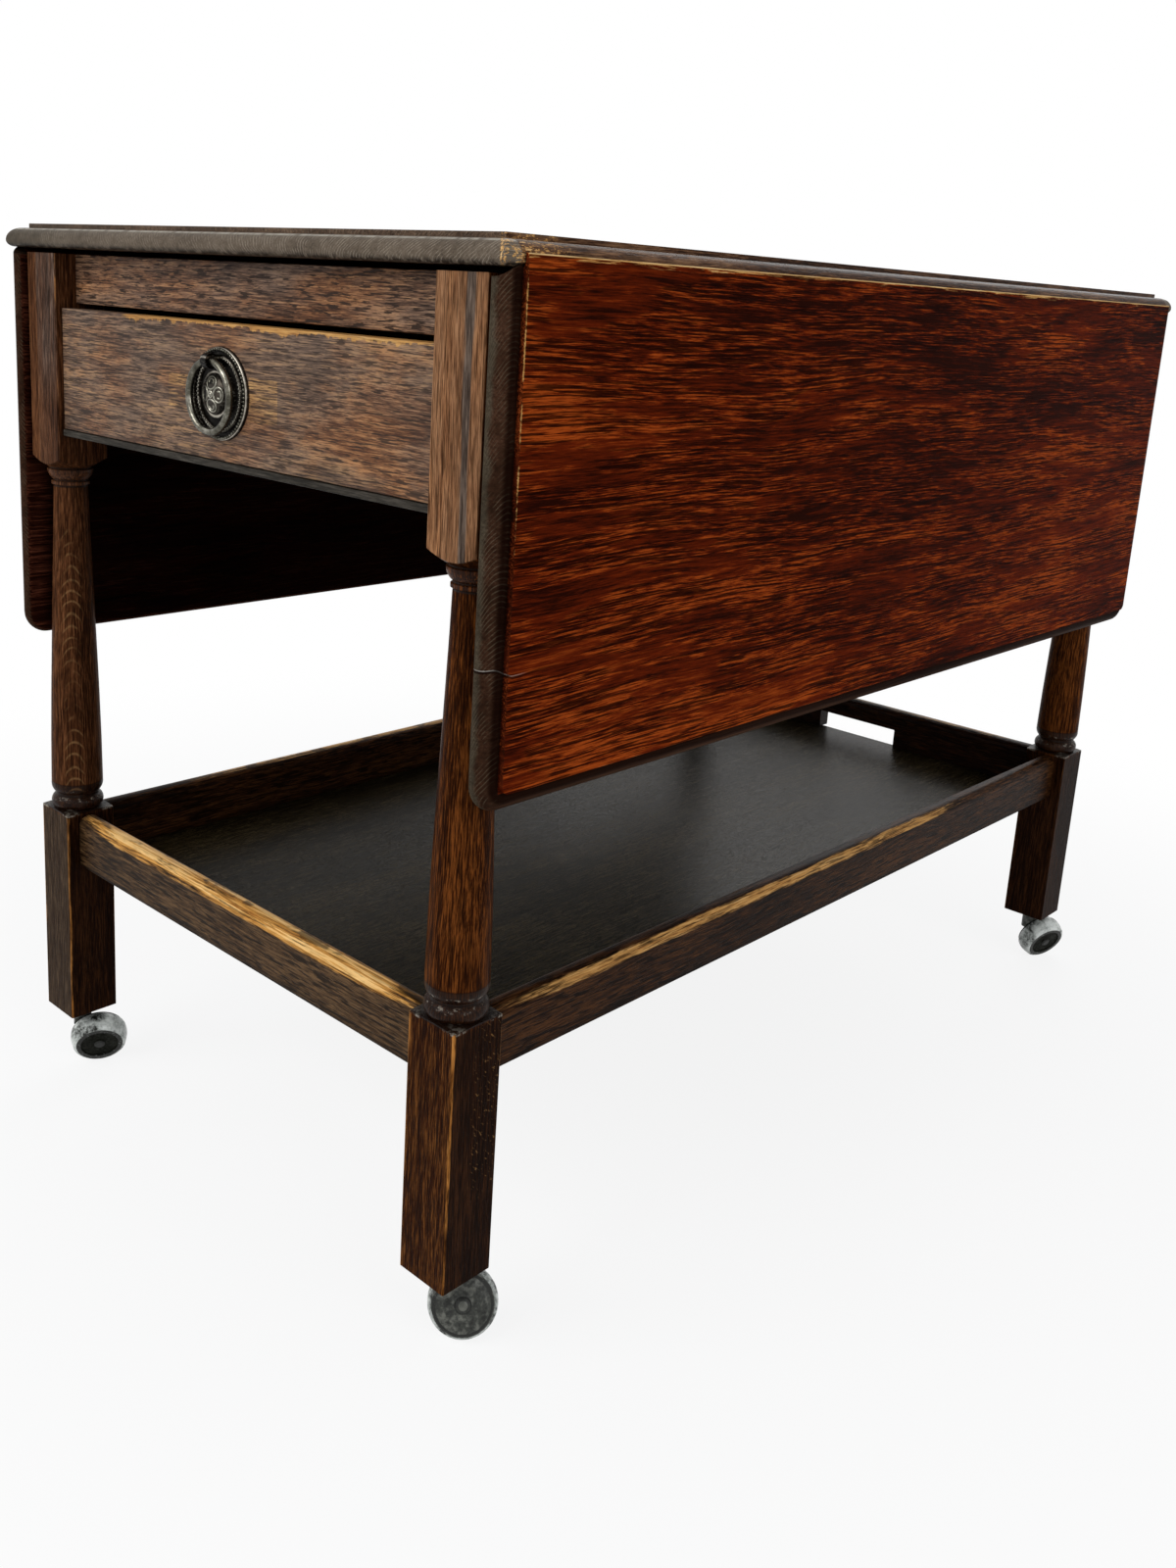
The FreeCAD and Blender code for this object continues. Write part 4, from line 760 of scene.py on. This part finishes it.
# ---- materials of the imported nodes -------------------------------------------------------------
leaf_oak = oak(
    "leaf_oak", "y", LEAF_OAK, seed=0.0,
    # the inner face of a leaf is painted dark as shade, apart from its front end
    zones=((leaf_inside, INNER_SHADE_OAK), (leaf_inside_front, RED_OAK), (leaf_rim, RIM_OAK),
           (leaf_outer_rim, OLIVE_OAK), (leaf_rim_lines, RIM_LINE), (leaf_crack, DRY_CRACK)),
    wear=leaf_wear, marks=leaf_marks, shade=leaf_shade, filled=leaf_rim, worn=WORN_DRAWER,
    dash=(20.0, 680.0), open_pores=0.49, calm=1.0, rough=0.42, gloss=0.004)
leg_oak = oak(
    "leg_oak", "z", COLUMN_OAK, seed=0.4,
    zones=((right_side, ORANGE_OAK), (lower_sides, SIDE_OAK), (lower_fronts, AMBER_OAK),
           (left_lower_front, DIM_OAK), (upper_fronts, FADED_OAK),
           (cloudy(60.0, 0.0, 9.0, 0.6, 0.7, upper_fronts), RUST_OAK), (turned_foot, SIDE_OAK),
           (upper_bands, BAND_OAK), (left_upper_front, MAUVE_OAK),
           (cloudy(90.0, 0.0, 7.0, 2.2, 0.6, left_upper_front), COLUMN_OAK),
           (left_upper_foot, COLUMN_OAK), (left_outer_strip, COLUMN_OAK), (leg_chevrons, CHEVRON),
           # the shoulders and crowns of the lower turning carry painted highlights
           (leg_flecks, PALE_FLECK), (shoulder_highlight, PALE_HIGHLIGHT), (leg_glints, PALE_HIGHLIGHT)),
    wear=leg_wear, marks=leg_marks, worn=WORN_CORNERS,
    dash=(34.0, 760.0), dashes=0.6, rough=0.34, gloss=leg_gloss)
top_oak = oak(
    "top_oak", "y", TOP_OAK, seed=0.9,
    zones=((top_ends, END_OAK), (top_left_end, OLIVE_OAK), (top_rays, RAY_LINE), (top_crest_wear_and_highlight, CREST_WEAR_AND_HIGHLIGHT)),
    wear=top_wear, marks=top_marks, filled=top_ends, worn=WORN_DRAWER,
    dashes=0.5, streaks=0.7, rough=0.36, gloss=0.028)
frieze_oak = oak(
    "frieze_oak", "x", FRIEZE_OAK, seed=1.3,
    zones=((cloudy(8.0, 0.0, 26.0, 0.3, 0.9), RUST_OAK), (cloudy(6.0, 0.0, 22.0, 1.9, 0.7), SLATE_OAK)),
    wear=frieze_wear, dash=(62.0, 640.0), dashes=0.95, streaks=1.3, rough=0.48, gloss=0.10)
drawer_oak = oak(
    "drawer_oak", "x", DRAWER_OAK, seed=2.1,
    zones=((cloudy(9.0, 0.0, 20.0, 0.9, 0.9), RUST_OAK), (cloudy(6.0, 0.0, 14.0, 2.4, 0.45), SLATE_OAK)),
    wear=drawer_wear, marks=drawer_marks, worn=WORN_DRAWER,
    dash=(52.0, 760.0), open_pores=0.43, streaks=1.5, rough=0.50, gloss=0.10)
bearer_oak = oak("bearer_oak", "x", BEARER_OAK, seed=2.9, dashes=0.4, streaks=0.5, rough=0.45, gloss=0.05)
# painted shade: the hidden rails, battens and runners inside the frame are painted near black
inner_shade_oak = oak("inner_shade_oak", "y", INNER_SHADE_OAK, seed=3.3, rough=0.55, gloss=0.02)
apron_oak = oak("apron_oak", "x", COLUMN_OAK, seed=4.8, gloss=0.03)
front_rail_oak = oak("front_rail_oak", "x", FRONT_RAIL_OAK, seed=3.7, wear=rail_wear("x", 1.60, 15 * MM),
                     marks=rail_marks, worn=WORN_RAIL, rough=0.38, gloss=0.05)
back_rail_oak = oak("back_rail_oak", "x", SIDE_OAK, seed=4.4, wear=rail_wear("x", 0.70, 16 * MM),
                    marks=rail_marks, rough=0.38)
side_rail_oak = oak("side_rail_oak", "y", SIDE_RAIL_OAK, seed=5.0,
                    wear=rail_wear("y", 1.15, 7 * MM, centre=-0.10), marks=rail_marks,
                    worn=WORN_DRAWER, rough=0.36, gloss=0.03)
left_rail_oak = oak("left_rail_oak", "y", SIDE_RAIL_OAK, seed=5.4, wear=rail_wear("y", 1.20, 15 * MM),
                    marks=rail_marks, worn=WORN_DRAWER, rough=0.36, gloss=0.03)
panel_oak = oak("panel_oak", "y", PANEL_OAK, seed=5.9, dash=(260.0, 800.0), dashes=0.6, open_pores=0.46,
                streaks=0.6, relief=0.32 * MM, rough=0.22, gloss=0.045, Specular_Tint=LACQUER_TINT)
raw_oak_x = oak("raw_oak_x", "x", RAW_OAK, seed=6.3, dashes=0.4, rough=0.62, gloss=0.3)
raw_oak_y = oak("raw_oak_y", "y", RAW_OAK, seed=6.9, dashes=0.4, rough=0.62, gloss=0.3)
plate_metal = metal("antique_plate", BRASS, 0.34, plate_relief, dent=0.06 * MM, mottled=0.7, Metallic=1.0)
ring_metal = metal("antique_metal", PEWTER, 0.23, dent=0.012 * MM, mottled=0.5, Metallic=1.0)
steel = metal("dull_steel", STEEL, 0.42, Metallic=1.0)
disc_grey = metal("disc_grey", WHEEL, 0.50, dent=0.05 * MM, Specular_IOR_Level=0.03)

MATERIALS = {
    "top_board": top_oak, "leaf_right": leaf_oak, "leaf_left": leaf_oak,
    "frieze_rail": frieze_oak, "drawer_front": drawer_oak, "drawer_bearer": bearer_oak,
    "back_apron": apron_oak, "apron_right": inner_shade_oak, "apron_left": inner_shade_oak,
    "top_batten_right": inner_shade_oak, "top_batten_left": inner_shade_oak,
    "drawer_runner_right": inner_shade_oak, "drawer_runner_left": inner_shade_oak, "drawer_stop": inner_shade_oak,
    "drawer_side_right": raw_oak_y, "drawer_side_left": raw_oak_y, "drawer_back": raw_oak_x,
    "drawer_bottom": raw_oak_y,
    "tray_rail_front": front_rail_oak, "tray_rail_back": back_rail_oak,
    "tray_rail_right": side_rail_oak, "tray_rail_left": left_rail_oak, "tray_board": panel_oak,
    "pull_plate": plate_metal, "pull_ring": ring_metal, "pull_nut": steel,
}
BY_KIND = {"leg_": leg_oak, "castor_wheel": disc_grey, "hinge_": steel, "stay_": steel, "leaf_stay": steel}
for corner in ("fl", "fr", "bl", "br"):
    MATERIALS["castor_horn_" + corner] = metal(
        "hood_" + corner, HOOD, 0.42, hood_relief(corner), scale=300.0, dent=0.05 * MM,
        Specular_IOR_Level=0.3)
    MATERIALS["castor_axle_" + corner] = metal(
        "rivet_" + corner, HOOD, 0.40, rivet_relief(corner), scale=300.0, dent=0.03 * MM, mottled=1.0,
        Specular_IOR_Level=0.3)
    MATERIALS["castor_tyre_" + corner] = metal(
        "tyre_" + corner, TYRE, 0.34, tyre_rubbed(corner), scale=500.0, dent=0.04 * MM, mottled=1.0,
        Specular_IOR_Level=0.25)

for name, node in frame["nodes"].items():
    material = MATERIALS.get(name)
    if material is None:
        material = next(m for kind, m in BY_KIND.items() if name.startswith(kind))
    node.data.materials.clear()
    node.data.materials.append(material)


# ---- edges: the arrises of a hand-finished piece aren't sharp ----------------------------------
SAME_POINT = 0.005 * MM                      # corners closer than this are one
ARRIS_W = 0.7 * MM
ARRIS_ANGLE = math.radians(38)               # an edge that turns less is left alone
METAL_KINDS = ("castor", "pull", "hinge", "stay", "leaf_stay")


def soften(node):
    """Round the arrises of a wooden piece."""
    weld = node.modifiers.new("weld", "WELD")
    weld.merge_threshold = SAME_POINT
    bevel = node.modifiers.new("arris", "BEVEL")
    bevel.width = ARRIS_W
    bevel.segments = 2
    bevel.limit_method = "ANGLE"
    bevel.angle_limit = ARRIS_ANGLE
    bevel.use_clamp_overlap = True
    node.modifiers.new("shading", "WEIGHTED_NORMAL").keep_sharp = True


for name, node in frame["nodes"].items():
    if not name.startswith(METAL_KINDS):
        soften(node)


# ---- ring pull: beaded rims and rosette --------------------------------------------------------
def link(obj, body, material):
    """Put a piece in the scene, on its body and in its material slot."""
    bpy.context.scene.collection.objects.link(obj)
    obj.data.materials.append(material)
    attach(obj, body)
    return obj


def on_plate(radius, angle, proud):
    """A point over the backplate, by radius, angle from the right and height off the drawer front."""
    return Vector((radius * math.cos(angle), PULL_FACE - proud, PULL_Z + radius * math.sin(angle)))


def beads(name, ring_r, proud, bead_r, count):
    """A ring of small round beads on the backplate."""
    mesh = bmesh.new()
    for i in range(count):
        place = Matrix.Translation(on_plate(ring_r, math.tau * i / count, proud))
        bmesh.ops.create_icosphere(mesh, subdivisions=2, radius=bead_r, matrix=place)
    for face in mesh.faces:
        face.smooth = True
    data = bpy.data.meshes.new(name)
    mesh.to_mesh(data)
    return link(bpy.data.objects.new(name, data), "drawer", ring_metal)


BOSS_R = 13.0 * MM
BOSS_TOP = 8.9 * MM                          # height of the boss of the backplate off the drawer front
BOSS_FALL = 2.7 * MM                         # and how much lower its edge is
BOSS_CURVE = 1.8


def dome(radius):
    """Height of the boss of the backplate at a radius."""
    return BOSS_TOP - BOSS_FALL * (radius / BOSS_R) ** BOSS_CURVE


PETALS = 4
WIRE_R = 0.78 * MM                           # half thickness of the rosette's raised lines
LOOP_POINTS = 12
SCROLL_TURN = math.radians(250)              # how far round the scroll in each petal goes


def rosette(name):
    """Petals drawn as raised loops with a scroll in each, round a small eye."""
    data = bpy.data.curves.new(name, "CURVE")
    data.dimensions = "3D"
    data.bevel_depth = WIRE_R
    data.bevel_resolution = 2

    def loop(centre_r, angle, half_length, half_width, turn=math.tau, start=0.0):
        """A raised line round a middle at a radius and angle, closed if it goes all the way."""
        spline = data.splines.new("NURBS")
        closed = turn == math.tau
        spline.points.add(LOOP_POINTS - 1)
        for i, point in enumerate(spline.points):
            t = start + turn * i / (LOOP_POINTS if closed else LOOP_POINTS - 1)
            along = centre_r + half_length * math.cos(t)
            aside = half_width * math.sin(t)
            radius = math.hypot(along, aside)
            at = on_plate(radius, angle + math.atan2(aside, along), dome(radius) + 0.1 * MM)
            point.co = (*at, 1)
        spline.use_cyclic_u = closed
        spline.use_endpoint_u = not closed
        spline.order_u = 3

    for i in range(PETALS):
        angle = math.tau * i / PETALS
        loop(7.4 * MM, angle, half_length=4.2 * MM, half_width=5.0 * MM)
        loop(8.2 * MM, angle, half_length=1.8 * MM, half_width=2.4 * MM,
             turn=SCROLL_TURN, start=-SCROLL_TURN / 2)
    for eye_r in (2.1 * MM, 0.6 * MM):
        loop(0.0, 0.0, half_length=eye_r, half_width=eye_r)
    return link(bpy.data.objects.new(name, data), "drawer", ring_metal)


beads("pull_rim_beads", PLATE_R - 1.7 * MM, proud=2.9 * MM, bead_r=1.05 * MM, count=70)
beads("pull_inner_beads", PLATE_R - 6.7 * MM, proud=2.9 * MM, bead_r=0.85 * MM, count=58)
rosette("pull_rosette")


# ---- camera: the photograph's place and angle --------------------------------------------------
IMAGE_W, IMAGE_H = 1200, 1600
FOCAL_PX = 1451.44
CAMERA_PLACE = (0.7965, -0.9816, 0.6644)
OPTICAL_X, OPTICAL_Y = 545.4, 648.1          # where the optical axis meets the image, px
YAW, PITCH, ROLL = (math.radians(a) for a in (43.06, -13.55, 3.18))
forward = Vector((-math.sin(YAW) * math.cos(PITCH), math.cos(YAW) * math.cos(PITCH), math.sin(PITCH)))
level = Vector((math.cos(YAW), math.sin(YAW), 0))
upright = level.cross(forward)
right = level * math.cos(ROLL) + upright * math.sin(ROLL)
up = upright * math.cos(ROLL) - level * math.sin(ROLL)
camera = bpy.data.objects.new("camera", bpy.data.cameras.new("camera"))
bpy.context.scene.collection.objects.link(camera)
turned = Matrix((right, up, -forward)).transposed().to_4x4()
camera.matrix_world = Matrix.Translation(CAMERA_PLACE) @ turned
camera.data.sensor_fit = "VERTICAL"
camera.data.sensor_height = 36.0
camera.data.lens = FOCAL_PX / IMAGE_H * camera.data.sensor_height
camera.data.shift_x = (IMAGE_W / 2 - OPTICAL_X) / IMAGE_H
camera.data.shift_y = (OPTICAL_Y - IMAGE_H / 2) / IMAGE_H
camera.data.clip_start = 0.01
bpy.context.scene.camera = camera


# ---- light, floor, background ------------------------------------------------------------------
def area_light(name, place, target, size, power):
    """A soft rectangular light at a place, turned to its target; size is its two sides."""
    light = bpy.data.lights.new(name, "AREA")
    light.shape = "RECTANGLE"
    light.size, light.size_y = size
    light.energy = power
    lamp = bpy.data.objects.new(name, light)
    lamp.location = place
    lamp.rotation_euler = (Vector(target) - Vector(place)).to_track_quat("-Z", "Y").to_euler()
    bpy.context.scene.collection.objects.link(lamp)


LAMP_SIZE = (2.4, 1.6)
area_light("key", (-0.6, -3.0, 2.3), (0, -0.2, 0.4), LAMP_SIZE, power=62)
area_light("side", (3.2, -0.6, 1.9), (0.1, 0, 0.5), LAMP_SIZE, power=34)
area_light("back", (-1.2, 2.8, 2.2), (0, 0, 0.4), LAMP_SIZE, power=30)
WHITE = (1.0, 1.0, 1.0)
SKY_LIGHT = (0.42, 0.43, 0.45)               # what the background adds to the light on the trolley


def seen_plainly(g):
    """1 for rays that see the background itself: from the camera, in gloss or through glass."""
    path = g.add("ShaderNodeLightPath").outputs
    return g.most(path["Is Camera Ray"], path["Is Glossy Ray"], path["Is Transmission Ray"])


class WorldGraph(Graph):
    """The same short ways for the world's node tree."""

    def __init__(self, name):
        self.world = bpy.data.worlds.new(name)
        self.world.use_nodes = True
        self.tree = self.world.node_tree
        self.tree.nodes.clear()


g = WorldGraph("studio")
sky = g.mix(seen_plainly(g), SKY_LIGHT, WHITE)
g.add("ShaderNodeOutputWorld", {0: g.add("ShaderNodeBackground", {"Color": sky}).outputs[0]})
bpy.context.scene.world = g.world

FLOOR_HALF = 14.0
FLOOR_GREY = (0.80, 0.80, 0.80)
NEAR, FAR = 0.45, 1.3                        # the floor grows fully white between these distances
corners = [(x * FLOOR_HALF, y * FLOOR_HALF, 0) for x, y in ((-1, -1), (1, -1), (1, 1), (-1, 1))]
mesh = bpy.data.meshes.new("floor")
mesh.from_pydata(corners, [], [(0, 1, 2, 3)])
floor = bpy.data.objects.new("floor", mesh)
bpy.context.scene.collection.objects.link(floor)
g = Graph("floor")
lit = g.add("ShaderNodeBsdfDiffuse", {"Color": FLOOR_GREY}).outputs[0]
white = g.add("ShaderNodeEmission", {"Color": WHITE}).outputs[0]
distance = g.add("ShaderNodeVectorMath", {0: g.place}, operation="LENGTH").outputs["Value"]
share = g.times(g.span(distance, NEAR, FAR, 0.86, 1.0), seen_plainly(g))
surface = g.add("ShaderNodeMixShader", {0: share, 1: lit, 2: white})
g.add("ShaderNodeOutputMaterial", {0: surface.outputs[0]})
floor.data.materials.append(g.material)

bpy.context.scene.view_settings.view_transform = "Standard"
